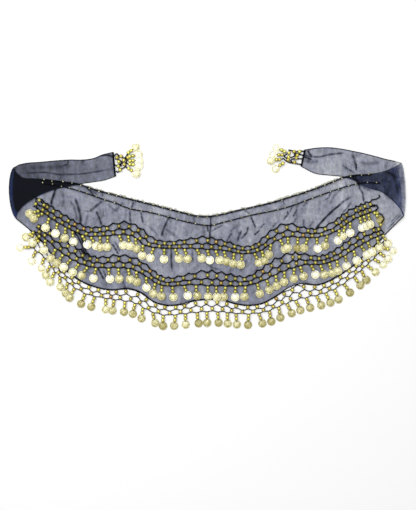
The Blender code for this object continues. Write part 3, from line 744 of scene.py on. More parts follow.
def drop_places(rails, base, laid, coin):
    """Roots and coin centres of a row of drops, each coin above what lies under it."""
    own = Laid()
    own.trees = [rails.strip(lambda x, y: base(x, y) + NET)]
    discs = []
    places = []
    for distance, lean in zip(rails.drops, rails.leans):
        angle = math.radians(lean)
        way = np.array([math.sin(angle), -math.cos(angle)])
        start = np.array([float(value) for value in rails.place(distance, 1.0)])
        root_z = base(*start) + NET / 2
        middle = start + way * DROP
        under = max(
            laid.top_near(*middle, coin / 2 + GAP),
            own.top_near(*middle, coin / 2 + GAP),
        )
        height = under + GAP + COIN_THICK / 2
        rim = DROP - coin / 2
        for share in STEM_CLEARS:
            spot = start + way * rim * share
            least = laid.top_near(*spot, STEM / 2 + GAP) + GAP + STEM_THICK / 2
            height = max(height, root_z + (least - root_z) / share)
        tops = [top for x, y, radius, top in discs
                if math.dist((x, y), middle) < coin / 2 + radius + GAP]
        for share in STEM_CROSSES:
            spot = start + way * rim * share
            tops += [top for x, y, radius, top in discs
                     if math.dist((x, y), spot) < STEM / 2 + radius + GAP]
        stacked = min(max(tops, default=0.0) + GAP + COIN_THICK / 2, root_z + TALLEST_STACK)
        height = max(height, stacked)
        places.append((start, way, root_z, middle, height))
        discs.append((*middle, coin / 2, height + COIN_THICK / 2))
        for share in STEM_FILLS:
            spot = start + way * rim * share
            top = root_z + (height - root_z) * share + STEM_THICK / 2
            discs.append((*spot, STEM / 2, top))
    return places


def joined_by(operation, swapped=False):
    """A method that joins a tone and another number in one sum."""
    if swapped:
        return lambda tone, other: tone.join(operation, other, tone)
    return lambda tone, other: tone.join(operation, tone, other)


class Tone:
    """A number on a surface, which can be used in a sum."""

    __add__ = __radd__ = joined_by("ADD")
    __sub__ = joined_by("SUBTRACT")
    __rsub__ = joined_by("SUBTRACT", swapped=True)
    __mul__ = joined_by("MULTIPLY")
    __truediv__ = joined_by("DIVIDE")
    __pow__ = joined_by("POWER")
    __rpow__ = joined_by("POWER", swapped=True)

    def __init__(self, finish, socket):
        self.finish = finish
        self.socket = socket

    def join(self, operation, first, second=0.0):
        node = self.finish.add("ShaderNodeMath", {"operation": operation}, {0: first, 1: second})
        return Tone(self.finish, node.outputs[0])

    def wave(self):
        return self.join("SINE", self)

    def size(self):
        return self.join("ABSOLUTE", self)

    def limited(self):
        return self.join("MAXIMUM", self.join("MINIMUM", self, 1.0), 0.0)

    def over(self, level, softness):
        """0 below a level and 1 above it, over a soft step."""
        return ((self - level) / softness + 0.5).limited()


class Finish:
    """A material under construction."""

    MIX_FACTOR, MIX_FIRST, MIX_SECOND, MIX_RESULT = 0, 6, 7, 2

    def __init__(self, name, constants):
        self.material = bpy.data.materials.new(name)
        self.material.use_nodes = True
        self.tree = self.material.node_tree
        self.shader = self.tree.nodes["Principled BSDF"]
        for socket, value in constants.items():
            self.shader.inputs[socket].default_value = value

    def add(self, kind, settings=None, inputs=None):
        """A node of a kind, with its settings made first and then its values or links."""
        node = self.tree.nodes.new(kind)
        for name, value in (settings or {}).items():
            setattr(node, name, value)
        for key, value in (inputs or {}).items():
            self.feed(node.inputs[key], value)
        return node

    def feed(self, socket, value):
        if isinstance(value, Tone):
            value = value.socket
        if isinstance(value, bpy.types.NodeSocket):
            self.tree.links.new(value, socket)
        else:
            socket.default_value = value

    def tone(self, name):
        """A number that each point of the mesh carries."""
        node = self.add("ShaderNodeAttribute", {"attribute_name": name})
        return Tone(self, node.outputs["Fac"])

    def places(self, kind="Object"):
        node = self.add("ShaderNodeTexCoord")
        return node.outputs[kind]

    def stretched(self, places, scale):
        node = self.add("ShaderNodeVectorMath", {"operation": "MULTIPLY"}, {0: places, 1: scale})
        return node.outputs[0]

    def parts(self, places):
        node = self.add("ShaderNodeSeparateXYZ", None, {0: places})
        return [Tone(self, socket) for socket in node.outputs]

    def cloud(self, places, scale, detail=2.0, rough=0.5):
        inputs = {"Vector": places, "Scale": scale, "Detail": detail, "Roughness": rough}
        node = self.add("ShaderNodeTexNoise", None, inputs)
        return Tone(self, node.outputs["Fac"])

    def blend(self, factor, first, second):
        inputs = {self.MIX_FACTOR: factor, self.MIX_FIRST: first, self.MIX_SECOND: second}
        node = self.add("ShaderNodeMix", {"data_type": "RGBA"}, inputs)
        return node.outputs[self.MIX_RESULT]

    def relief(self, height, strength, distance):
        inputs = {"Height": height, "Strength": strength, "Distance": distance}
        node = self.add("ShaderNodeBump", None, inputs)
        self.feed(self.shader.inputs["Normal"], node.outputs[0])

    def colour(self, value):
        self.feed(self.shader.inputs["Base Color"], value)

    def roughness(self, value):
        self.feed(self.shader.inputs["Roughness"], value)

    def cover(self, value):
        self.feed(self.shader.inputs["Alpha"], value)


def shade(colour, factor):
    """A colour made darker or lighter."""
    return (*[min(part * factor, 1.0) for part in colour[:3]], 1.0)


def chiffon(name, look):
    """Sheer cloth: its cover grows with the plies that lie on each other in a crease."""
    finish = Finish(name, {"Roughness": 0.75, "Specular IOR Level": 0.08})
    places = finish.places()
    x, y, _ = finish.parts(places)
    thread = math.tau / look.thread_pitch
    weave = (x * thread).wave() * (y * thread).wave()
    cloud = finish.cloud(finish.stretched(places, (1.0, 0.45, 1.0)), 26.0, 4.0, 0.55)
    streak = finish.cloud(finish.stretched(places, (3.0, 0.7, 1.0)), 60.0, 3.0, 0.6)
    patch = finish.cloud(places, 100.0, 3.0, 0.6)
    grain = finish.cloud(places, 340.0, 3.0, 0.65)
    bends = finish.cloud(finish.stretched(places, (1.7, 0.8, 1.0)), 24.0, 3.0, 0.5)
    wrinkle = (1.0 - (bends - 0.5).size() * 55.0).limited() * cloud.over(0.54, 0.1)
    plies = finish.tone("tone") + (cloud - 0.5) * 1.3 + (streak - 0.5) * 0.75
    plies = plies + (patch - 0.5) * 0.8 + (grain - 0.5) * 0.8 + weave * 0.06
    plies = plies + wrinkle * 0.42
    through = look.sheerness ** plies
    finish.cover((1.0 - through).limited())
    tint = finish.blend(patch.over(0.5, 0.3), look.cloth_cool, look.cloth_grey)
    sheer = (through / look.sheerness).limited()
    finish.colour(finish.blend(sheer ** 1.9, look.cloth_dense, tint))
    finish.relief(weave * 0.35 + grain * 0.8 + streak * 1.6, 0.3, 0.0004)
    return finish.material


def yarn(name, colour):
    """Matt crochet yarn, with fine fibres and paler patches."""
    finish = Finish(name, {"Roughness": 0.9, "Specular IOR Level": 0.06})
    places = finish.places()
    fibres = finish.cloud(finish.stretched(places, (1.0, 1.0, 2.0)), 1400.0, 3.0, 0.7)
    patch = finish.cloud(places, 90.0, 2.0)
    light = (fibres * 0.6 + patch * 0.5).over(0.62, 0.5)
    finish.colour(finish.blend(light, colour, shade(colour, 2.6)))
    finish.relief(fibres, 0.5, 0.0004)
    return finish.material


def gilt(name, dark, light, brown):
    """Lacquered gold of the beads: browner on some of them, and darker low on their sides with
    painted shade.
    """
    finish = Finish(name, {"Metallic": 0.6, "Coat Weight": 0.1, "Coat Roughness": 0.25})
    places = finish.places()
    speck = finish.cloud(places, 700.0, 2.0)
    tint = finish.tone("tone") + (speck - 0.5) * 0.5
    gold = finish.blend(tint.limited(), dark, light)
    gold = finish.blend((tint * -2.0 - 0.8).limited(), gold, brown)
    depth = finish.parts(finish.places("UV"))[0]
    # Painted shade: the gold darkens towards the low sides of each bead
    low = ((depth - 0.2) * 1.6).limited() * 0.9
    finish.colour(finish.blend(low, gold, shade(dark, 0.22)))
    finish.roughness(0.30 + speck * 0.18)
    finish.relief(speck, 0.25, 0.0003)
    return finish.material


def coin_metal(name, look):
    """Pressed coin: a ring of dots, a ring line and a rosette, dark in the hollows with painted
    shade.
    """
    finish = Finish(name, {"Metallic": 0.6})
    u, v, _ = finish.parts(finish.places("UV"))
    x = u * 2.0 - 1.0
    y = v * 2.0 - 1.0
    radius = (x * x + y * y) ** 0.5
    angle = x.join("ARCTAN2", y, x)
    dots = (angle * 36.0).wave() * (1.0 - ((radius - 0.8) * 14.0) ** 2.0).limited()
    line = (1.0 - ((radius - 0.66) * 24.0) ** 2.0).limited()
    petal = (angle * 4.0).wave() * 0.16 + 0.4
    rosette = (1.0 - ((radius - petal) * 9.0) ** 2.0).limited()
    heart = (1.0 - radius * 6.0).limited()
    rays = (angle * 16.0).wave() * radius.over(0.5, 0.1) * (1.0 - radius.over(0.62, 0.05))
    pressed = dots * 0.6 + line * 0.7 + rosette * 0.8 + heart * 0.7 + rays * 0.4
    # This noise also paints white highlights and dark shade where it swings far: painted highlight
    # and shade
    wear_and_sheen = finish.cloud(finish.places(), 230.0, 4.0, 0.6)
    # The pressed pattern lifts the tone and the hollows stay darker: painted shade in the hollows
    tint = finish.tone("tone") + (wear_and_sheen - 0.5) * 2.5 + pressed * 0.5 - 0.25
    gold = finish.blend(tint.limited(), look.coin_dark, look.coin_light)
    # The palest parts of the coins: a painted highlight
    finish.colour(finish.blend(((tint - 0.9) * 2.0).limited(), gold, look.coin_painted_highlight))
    finish.roughness(0.52 - pressed * 0.12 + (wear_and_sheen - 0.5) * 0.2)
    finish.relief(pressed + wear_and_sheen * 0.25, 0.7, 0.0006)
    return finish.material


def pale_floor(name, look):
    finish = Finish(name, {"Roughness": 0.9})
    grain = finish.cloud(finish.places(), 3.0, 2.0)
    finish.colour(finish.blend(grain, look.floor_colour, shade(look.floor_colour, 0.985)))
    return finish.material


def look_of(context):
    return context.scene.hip_scarf_look


def sizes_of(context):
    return context.scene.hip_scarf_sizes


def tie_grid(table):
    return on_sections(smooth(table, TIE_STEPS), TIE_COLUMNS)


def panel_grid():
    """x, y and height of the panel, with the fold at each end."""
    outlines = [outline_of(*tie_grid(table)) for table in (LEFT_TIE, RIGHT_TIE)]
    main = np.array(PANEL, dtype=float)
    x, y = on_sections(main, PANEL_COLUMNS)
    away = np.minimum(*[distance_to_outline(outline, x, y) for outline in outlines])
    height = CLOTH / 2 + TIE_LIFT * ease(1.0 - (away - TIE_MARGIN) / TIE_SLOPE)
    rows = [np.concatenate([section, tall]) for section, tall in zip(main, height)]
    left, right = (
        [np.array([*row[:5], *([row[5]] * PANEL_COLUMNS)]) for row in folds]
        for folds in (LEFT_FOLD[::-1], RIGHT_FOLD)
    )
    run = smooth(left + rows + right, PANEL_STEPS)
    x, y = on_sections(run[:, :5], PANEL_COLUMNS)
    return x, y, np.maximum(run[:, 5:], CLOTH / 2)


def base_plies(x):
    """Plies of the smooth panel: fewer towards its right and along its top edge."""
    share = np.linspace(-0.5, 0.5, PANEL_COLUMNS)[None, :]
    return np.interp(x, PLIES_X, PLIES) + PLIES_DOWN * share


def creased(creases, x, y, height, plies):
    """The cloth with its creases: a low ridge and more plies along each."""
    for tall, wide, extra, *path in creases:
        away, along = distance_to_path(path, x, y)
        fade = np.clip(np.sin(math.pi * np.clip(along, 0.02, 0.98)) * 2.4, 0.0, 1.0)
        rough = 0.75 + 0.25 * np.sin(along * 17.0 + x * 0.13)
        ridge = np.exp(-((away / (wide * CREASE_SPREAD)) ** 2)) * fade * rough
        height = height + tall * ridge
        plies = plies + extra * CREASE_DEPTH * np.exp(-((away / wide) ** 2)) * fade * rough
    return height, plies


def waved(x, y, height, size, seed):
    """The cloth with a slow, uneven wave."""
    flat = zip(x.ravel(), y.ravel())
    wave = [noise.noise(Vector((a * WAVE_RATE[0], b * WAVE_RATE[1], seed))) for a, b in flat]
    return height + size * np.array(wave).reshape(x.shape)


def add_cloth(shape, x, y, height, plies):
    rows, columns = x.shape
    faces = []
    for row in range(rows - 1):
        for column in range(columns - 1):
            start = row * columns + column
            faces.append((start, start + 1, start + columns + 1, start + columns))
    shape.add(np.stack([x, y, height], axis=2), faces, plies.ravel())


def add_piece(shape, name, finish, slot, *nodes):
    """A piece of the scarf, which may take the place of nodes of the part."""
    piece = shape.build(name, finish)
    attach(piece, "root")
    if nodes:
        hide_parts(*nodes)
    return piece


def edge_path(x, y, height, rise):
    return np.stack([x, y, height + rise], axis=1)


def add_rolled_edges(rolls, x, y, height, radii, rise):
    """Rolled yarn along the first and the last column of a cloth."""
    for column, radius in zip((0, -1), radii):
        level = np.maximum(height[:, column], radius * ROOF)
        path = edge_path(x[:, column], y[:, column], level, rise)
        add_yarn(rolls, spread(path, EDGE_STEP), radius, lay=EDGE_LAY)


def length_setting(name, description, millimetres, precision=2):
    """A length for the sidebar, given in millimetres."""
    return bpy.props.FloatProperty(
        name=name, description=description, default=millimetres * MM, precision=precision,
        subtype="DISTANCE", unit="LENGTH")


def colour_setting(name, description, *colour):
    """An opaque colour for the sidebar."""
    return bpy.props.FloatVectorProperty(
        name=name, description=description, size=4, default=(*colour, 1.0),
        subtype="COLOR", min=0.0, max=1.0)


class HIPSCARF_PG_sizes(bpy.types.PropertyGroup):
    """Sizes of the small parts."""
    coin: length_setting("Coin", "Diameter of a coin", 18.5)
    bead: length_setting("Bead", "Diameter of a gold bead", 8.4)
    chain_bead: length_setting("Chain bead", "Diameter of a bead on the waist chains", 3.8)
    cord: length_setting("Cord", "Thickness of a crocheted cord", 3.6)
    edge: length_setting("Edge", "Thickness of a rolled cloth edge", 2.0)
    bead_pitch: length_setting("Chain pitch", "From one chain bead to the next", 20.5)


class HIPSCARF_PG_look(bpy.types.PropertyGroup):
    """Colours and sheerness."""
    sheerness: bpy.props.FloatProperty(
        name="Sheerness", description="Light that passes one ply of the cloth",
        default=0.49, min=0.0, max=1.0, subtype="FACTOR")
    thread_pitch: length_setting(
        "Thread pitch", "From one thread of the weave to the next", 0.55, precision=5)
    cloth_dense: colour_setting(
        "Cloth, dense", "Cloth colour where many plies lie together", 0.0040, 0.0045, 0.0070)
    cloth_cool: colour_setting(
        "Cloth, cool", "Colour of one ply in its cooler patches", 0.016, 0.036, 0.165)
    cloth_grey: colour_setting(
        "Cloth, grey", "Colour of one ply in its greyer patches", 0.024, 0.040, 0.100)
    yarn_colour: colour_setting("Yarn", "Colour of the crochet yarn", 0.0028, 0.0028, 0.0045)
    bead_dark: colour_setting("Beads, dark", "Browner beads", 0.36, 0.30, 0.06)
    bead_light: colour_setting("Beads, light", "Yellower beads", 0.76, 0.72, 0.15)
    bead_brown: colour_setting("Beads, brown", "The few orange brown beads", 0.50, 0.31, 0.08)
    chain_bead_dark: colour_setting(
        "Chain beads, dark", "Duller beads of the waist chains", 0.26, 0.26, 0.14)
    chain_bead_light: colour_setting(
        "Chain beads, light", "Paler beads of the waist chains", 0.62, 0.62, 0.42)
    stitch_colour: colour_setting("Stitches", "Pale stitches along the top edge", 0.25, 0.25, 0.15)
    # The dark coin colour is also the painted shade in the hollows and on each coin's lower right,
    # the light one the painted light on its high parts and upper left
    coin_dark: colour_setting("Coins, dark", "Coins in their hollows", 0.36, 0.315, 0.11)
    coin_light: colour_setting("Coins, light", "Coins on their high parts", 0.98, 0.945, 0.60)
    # The palest coin colour is a painted highlight
    coin_painted_highlight: colour_setting("Coins, bright", "The palest parts of coins", 1.0, 1.0, 0.97)
    floor_colour: colour_setting("Floor", "Colour of the pale floor", 0.93, 0.93, 0.93)


class HIPSCARF_OT_panel(bpy.types.Operator):
    """Lay the sheer panel with its folds at both ends and its rolled edges"""
    bl_idname = "hipscarf.panel"
    bl_label = "Panel"

    LIP_ROWS = 3 * PANEL_STEPS
    LEFT_LIP_PLIES = 2.4
    RIGHT_LIP_PLIES = 0.35
    LEFT_OVERLAP_PLIES = 3.0
    RIGHT_OVERLAP_PLIES = 0.9
    OVERLAP_SOFTNESS = 3.0
    OVERLAP_FADE = ((395.0, 425.0), (1.0, 0.3))
    FOLD_HEIGHT = 4.0
    WAVE, WAVE_SEED = 0.22, 1.7
    EDGE_SHARES = (0.6, 1.25)
    EDGE_RISE = 0.15
    FLAT = (0.330, 0.895)
    AREA = 0.166

    def execute(self, context):
        look = look_of(context)
        x, y, height = panel_grid()
        plies = base_plies(x)
        for table, extra in ((LEFT_TIE, self.LEFT_OVERLAP_PLIES),
                             (RIGHT_TIE, self.RIGHT_OVERLAP_PLIES)):
            away = distance_to_outline(outline_of(*tie_grid(table)), x, y)
            extra = extra * np.interp(x, *self.OVERLAP_FADE)
            plies = plies + extra * ease(1.0 - away / self.OVERLAP_SOFTNESS)
        height = height + CLOTH_RISE * (height < self.FOLD_HEIGHT)
        height = waved(x, y, height, self.WAVE, self.WAVE_SEED)
        height, plies = creased(PANEL_CREASES, x, y, height, plies)
        plies[:self.LIP_ROWS] = self.LEFT_LIP_PLIES
        plies[-self.LIP_ROWS:] = self.RIGHT_LIP_PLIES
        shape = Shape()
        add_cloth(shape, x, y, height, plies)
        cloth = add_piece(
            shape, "panel_cloth", chiffon("panel_chiffon", look), "panel", "panel")

        radius = sizes_of(context).edge / MM / 2
        rolls = Shape()
        radii = [radius * share for share in self.EDGE_SHARES]
        add_rolled_edges(rolls, x, y, height, radii, self.EDGE_RISE)
        finish = yarn("panel_edge_yarn", look.yarn_colour)
        edges = add_piece(rolls, "panel_rolled_edges", finish, "panel")
        return {"FINISHED"}


class HIPSCARF_OT_ties(bpy.types.Operator):
    """Lay the two ties behind the panel, with their rolled edges"""
    bl_idname = "hipscarf.ties"
    bl_label = "Ties"

    # Plies of a tie: where it is smooth, how many more at its far left, how many more where
    # the panel covers it
    PLIES = {"left": (1.29, 0.40, 2.0), "right": (0.87, 0.0, -0.2)}
    RISING_FROM, RISING_OVER = -265.0, 90.0
    WAVE = 0.15
    COVERED_HEIGHT = 1.3
    EDGE_RISE = 0.1
    ROPE_SHARE = 2.3
    ROPE_RISE = 2.0
    ROPE_STEP, ROPE_LAY = 1.2, 4.2

    def execute(self, context):
        look = look_of(context)
        px, py, _ = panel_grid()
        panel_outline = outline_of(px[UNFOLDED], py[UNFOLDED])
        radius = sizes_of(context).edge / MM / 2
        for side, table, creases, flat, area, seed in (
            ("left", LEFT_TIE, LEFT_TIE_CREASES, (0.096, 0.242), 0.0141, 4.1),
            ("right", RIGHT_TIE, RIGHT_TIE_CREASES, (0.092, 0.244), 0.0140, 8.3),
        ):
            x, y = tie_grid(table)
            covered = inside(panel_outline, x, y)
            plain, rising, hidden = self.PLIES[side]
            plies = plain + rising * ease((self.RISING_FROM - x) / self.RISING_OVER)
            plies = plies + np.where(covered, hidden, 0.0)
            height = waved(x, y, np.full(x.shape, TIE_HEIGHT), self.WAVE, seed)
            height, plies = creased(creases, x, y, height, plies)
            height = np.where(covered, np.minimum(height, self.COVERED_HEIGHT), height)
            shape = Shape()
            add_cloth(shape, x, y, height, plies)
            node = "tie_" + side
            finish = chiffon(node + "_chiffon", look)
            cloth = add_piece(shape, node + "_cloth", finish, node, node)
            rolls = Shape()
            add_rolled_edges(rolls, x, y, height, (radius, radius), self.EDGE_RISE)
            end = edge_path(x[-1], y[-1], height[-1], self.ROPE_RISE)
            add_yarn(rolls, spread(end, self.ROPE_STEP), radius * self.ROPE_SHARE,
                     lay=self.ROPE_LAY)
            finish = yarn(node + "_edge_yarn", look.yarn_colour)
            edges = add_piece(rolls, node + "_rolled_edges", finish, node)
        return {"FINISHED"}


def floor_level(x, y):
    """The underside of a net that lies on the floor."""
    return 0.0


def cloth_level(rails, laid):
    """The underside of a net on cloth, read now and then along its two cords."""
    stops = np.linspace(0.0, rails.length, LEVEL_STOPS)
    levels = []
    for share in (0.0, 1.0):
        x, y = rails.place(stops, share)
        levels.append([laid.top_near(a, b, NET_REACH) + GAP for a, b in zip(x, y)])
    level = np.max(levels, axis=0)
    places = np.stack(rails.place(stops, 0.5), axis=1)

    def base(x, y):
        nearest = np.argmin((places[:, 0] - x) ** 2 + (places[:, 1] - y) ** 2)
        return float(level[nearest])
    return base


class Net:
    """A crocheted net with its beads and coins, on the way to three pieces."""

    CORD_SHARE = {"band_hem": 0.66, "fringe_left": 0.95, "fringe_right": 0.95}
    STOP = 2.2
    LEVEL_EVERY = 3
    # Sideways wobble of the cords: size and rate
    WOBBLES = ((1.1, 0.19), (0.8, 0.45))
    # How far the three cords leave their lines, in shares of the net's depth
    UPPER_LOOP, MIDDLE_WAVE, LOWER_LOOP = 0.22, 0.09, 0.06
    # Where a bar bead sits between the upper and the lower cord: the two ends of its thread
    UPPER_BAR, LOWER_BAR = (0.0, 0.43), (0.57, 0.95)
    BAR_THREAD, BAR_STEP = 0.85, 1.5
    BROWN, DULL, BAR_BRIGHT, TANGLE_BRIGHT = -0.9, -0.2, 0.45, 0.6
    LOOSE_SHARE = 0.9
    # The two beads of a drop: how far along it, their size, and how bright they are
    DROP_BEADS = (4.6, 11.9)
    DROP_BEAD_SHARE = 0.94
    DROP_BRIGHT = (0.35, 0.95)
    HEM_DULLER = 0.3
    BEAD_REACH = 1.5
    DROP_THREAD, DROP_STEP = 0.8, 1.4
    # Where the thread ends on a coin: share of its diameter from its middle, and height
    THREAD_ENDS = ((0.44, 0.45), (0.38, 0.2))
    COIN_TILT = (0.2, 1.6)
    SHARP_FROM = 35

    def __init__(self, context, name, rails, laid, base, seed):
        sizes = sizes_of(context)
        self.look = look_of(context)
        self.name = name
        self.rails = rails
        self.laid = laid
        self.base = base
        self.seed = seed
        self.draw = random.Random(seed)
        self.radius = sizes.cord / MM / 2 * self.CORD_SHARE.get(name, 1.0)
        self.bead = sizes.bead / MM / 2
        self.coin = sizes.coin / MM
        self.on_floor = name not in ("band_upper", "band_middle")
        self.lift = max(NET, self.radius * ROOF) if self.on_floor else NET
        self.form = bead_form()
        self.cords = Shape()
        self.beads = Shape()
        self.coins = Shape()

    def make(self, bar_beads):
        """The net's pieces; its coins lie over the bar beads that are there by then."""
        if self.name in END_CORDS:
            self.tangle()
        else:
            self.crochet()
            self.string_bars(bar_beads)
        self.loose_ends()
        self.hang_drops(bar_beads)
        self.build()

    def shine(self, brown_share, brightest):
        """The tone of a bead, and now and then of a brown one."""
        if self.draw.random() < brown_share:
            return self.BROWN
        return self.draw.uniform(self.DULL, brightest)

    def string(self, place, way, shine, share=1.0):
        add_bead(self.beads, self.form, place, self.bead * share, way, shine)

    def cord(self, places, share=1.0):
        add_yarn(self.cords, spread(places, CORD_STEP), self.radius * share, lay=CORD_LAY)

    def tangle(self):
        """The cords and beads of an end net."""
        for path in END_CORDS[self.name]:
            self.cord([(x, y, self.lift) for x, y in smooth(path, 4)])
        for x, y in END_BEADS[self.name]:
            way = (self.draw.uniform(-1.0, 1.0), 1.0, 0.0)
            shine = self.shine(2 * BROWN_SHARE, self.TANGLE_BRIGHT)
            self.string((x, y, self.bead), way, shine)

    def slack(self, stops):
        """How far the upper cord hangs off the cloth, in shares of the net's depth."""
        slack = np.zeros(len(stops))
        if self.name == "band_hem":
            upper_x = self.rails.place(stops, 0.0)[0]
            for first, last, depth in HEM_SLACK:
                run = np.clip((upper_x - first) / (last - first), 0.0, 1.0)
                slack += depth * np.sin(math.pi * run)
        return slack

    def crochet(self):
        """The three cords of a band."""
        stops = np.arange(0.0, self.rails.length, self.STOP)
        lap = self.rails.between_drops(stops)
        loop = 0.0 if self.on_floor else self.UPPER_LOOP
        every = slice(None, None, self.LEVEL_EVERY)
        for share in (
            self.slack(stops) - loop * lap ** 1.6,
            0.5 + self.MIDDLE_WAVE * (2.0 * lap - 1.0),
            1.0 + self.LOWER_LOOP * (1.0 - 2.0 * lap ** 0.7),
        ):
            x, y = self.rails.place(stops, share)
            level = [self.base(a, b) + self.lift for a, b in zip(x[every], y[every])]
            height = np.interp(stops, stops[every], level)
            wobble = [
                sum(size * noise.noise(Vector((stop * rate, self.seed, share[0])))
                    for size, rate in self.WOBBLES)
                for stop in stops
            ]
            self.cord(np.stack([x, y + np.array(wobble), height], axis=1))

    def string_bars(self, bar_beads):
        """The beads between the cords, each on a thread of its own."""
        rails, draw = self.rails, self.draw
        for spots, shares in ((rails.drops, self.UPPER_BAR), (rails.between, self.LOWER_BAR)):
            for spot in spots:
                ends = []
                for share in shares:
                    x, y = rails.place(spot, share)
                    ends.append(np.array([float(x), float(y), 0.0]))
                level = self.base(*ends[0][:2])
                middle = (ends[0] + ends[1]) / 2 + np.array([0.0, 0.0, level + self.bead])
                middle[:2] += [draw.uniform(-0.5, 0.5), draw.uniform(-0.4, 0.4)]
                way = ends[1] - ends[0] + np.array([draw.uniform(-2, 2), 0.0, 0.0])
                self.string(middle, way, self.shine(BROWN_SHARE, self.BAR_BRIGHT))
                bar_beads.append(middle)
                for end in ends:
                    end[2] = level + NET
                path = spread(np.array([ends[0], middle, ends[1]]), self.BAR_STEP)
                add_yarn(self.cords, path, self.BAR_THREAD, strands=1)

    def loose_ends(self):
        """Cord ends past the net, and the beads on them."""
        for path in LOOSE_CORDS.get(self.name, ()):
            self.cord([(x, y, self.base(x, y) + NET) for x, y in path], self.LOOSE_SHARE)
        for x, y in LOOSE_BEADS.get(self.name, ()):
            self.string((x, y, self.base(x, y) + self.bead), (1.0, 0.4, 0.0), 0.5)

    def hang_drops(self, bar_beads):
        """Two beads on a thread and a coin at each drop."""
        draw, bead, coin = self.draw, self.bead, self.coin
        coin_shape = coin_form(coin / 2)
        duller = self.HEM_DULLER if self.name == "band_hem" else 0.0
        places = drop_places(self.rails, self.base, self.laid, coin)
        for (start, way, root_z, middle, height), tone in zip(places, COIN_TONES[self.name]):
            for spot in bar_beads:
                if math.dist(spot[:2], middle) < coin / 2 + bead * 0.8:
                    height = max(height, spot[2] + bead + 0.5)
            path = [(*start, root_z)]
            for along in self.DROP_BEADS:
                spot = start + way * along
                rise = root_z + (height - root_z) * along / DROP
                top = self.laid.top_near(*spot, self.BEAD_REACH) + GAP + bead * 0.9
                spot = np.array([*spot, max(rise, top)])
                spot[:2] += [draw.uniform(-0.5, 0.5), draw.uniform(-0.3, 0.3)]
                shine = draw.uniform(*self.DROP_BRIGHT) - duller
                self.string(spot, (*way, 0.05), shine, self.DROP_BEAD_SHARE)
                path.append(tuple(spot))
            for share, rise in self.THREAD_ENDS:
                path.append((*(middle - way * coin * share), height + rise))
            add_yarn(self.cords, spread(path, self.DROP_STEP), self.DROP_THREAD, strands=1)
            tone += draw.uniform(-0.05, 0.05)
            add_coin(self.coins, coin_shape, coin / 2, (*middle, height),
                     draw.uniform(0, math.tau), math.radians(draw.uniform(*self.COIN_TILT)),
                     draw.uniform(0, math.tau), tone)

    def build(self):
        name, look = self.name, self.look
        finish = yarn(name + "_yarn", look.yarn_colour)
        add_piece(self.cords, name + "_cords", finish, name, name)
        # Beads over the floor get a lighter gold: painted light from the floor
        painted_glow = PAINTED_FLOOR_GLOW if self.on_floor else 1.0
        finish = gilt(name + "_gilt", shade(look.bead_dark, painted_glow * painted_glow),
                      shade(look.bead_light, painted_glow), look.bead_brown)
        add_piece(self.beads, name + "_beads", finish, "waist_chain")
        finish = coin_metal(name + "_coin_metal", look)
        coins = add_piece(self.coins, name + "_coins", finish, "waist_chain")
        coins.data.set_sharp_from_angle(angle=math.radians(self.SHARP_FROM))


class HIPSCARF_OT_nets(bpy.types.Operator):
    """Crochet the three bands and the two end nets, with their beads and coins"""
    bl_idname = "hipscarf.nets"
    bl_label = "Nets, beads and coins"

    def execute(self, context):
        x, y, _ = panel_grid()
        step = PANEL_STEPS // 2
        hem_x, hem_y = x[UNFOLDED, -1][::step], y[UNFOLDED, -1][::step]
        below = ["tie_left", "tie_right", "panel"]
        bar_beads = []
        rails = Rails(HEM_NET, HEM_DROPS, list(zip(hem_x.tolist(), hem_y.tolist())))
        Net(context, "band_hem", rails, Laid(*below), floor_level, 11).make(bar_beads)
        below.append("band_hem")
        for name, table, drops, seed in (
            ("band_middle", MIDDLE_NET, MIDDLE_DROPS, 23),
            ("band_upper", UPPER_NET, UPPER_DROPS, 37),
        ):
            laid = Laid(*below)
            rails = Rails(table, drops)
            Net(context, name, rails, laid, cloth_level(rails, laid), seed).make(bar_beads)
            below.append(name)
        for name, table, drops, tie, flip, seed in (
            ("fringe_left", LEFT_END_NET, LEFT_END_DROPS, LEFT_TIE, True, 51),
            ("fringe_right", RIGHT_END_NET, RIGHT_END_DROPS, RIGHT_TIE, False, 67),
        ):
            end = tie[-1]
            edge = [end[0:2], end[2:4]]
            rails = Rails(table, drops, edge[::-1] if flip else edge)
            Net(context, name, rails, Laid(*below), floor_level, seed).make([])
        return {"FINISHED"}


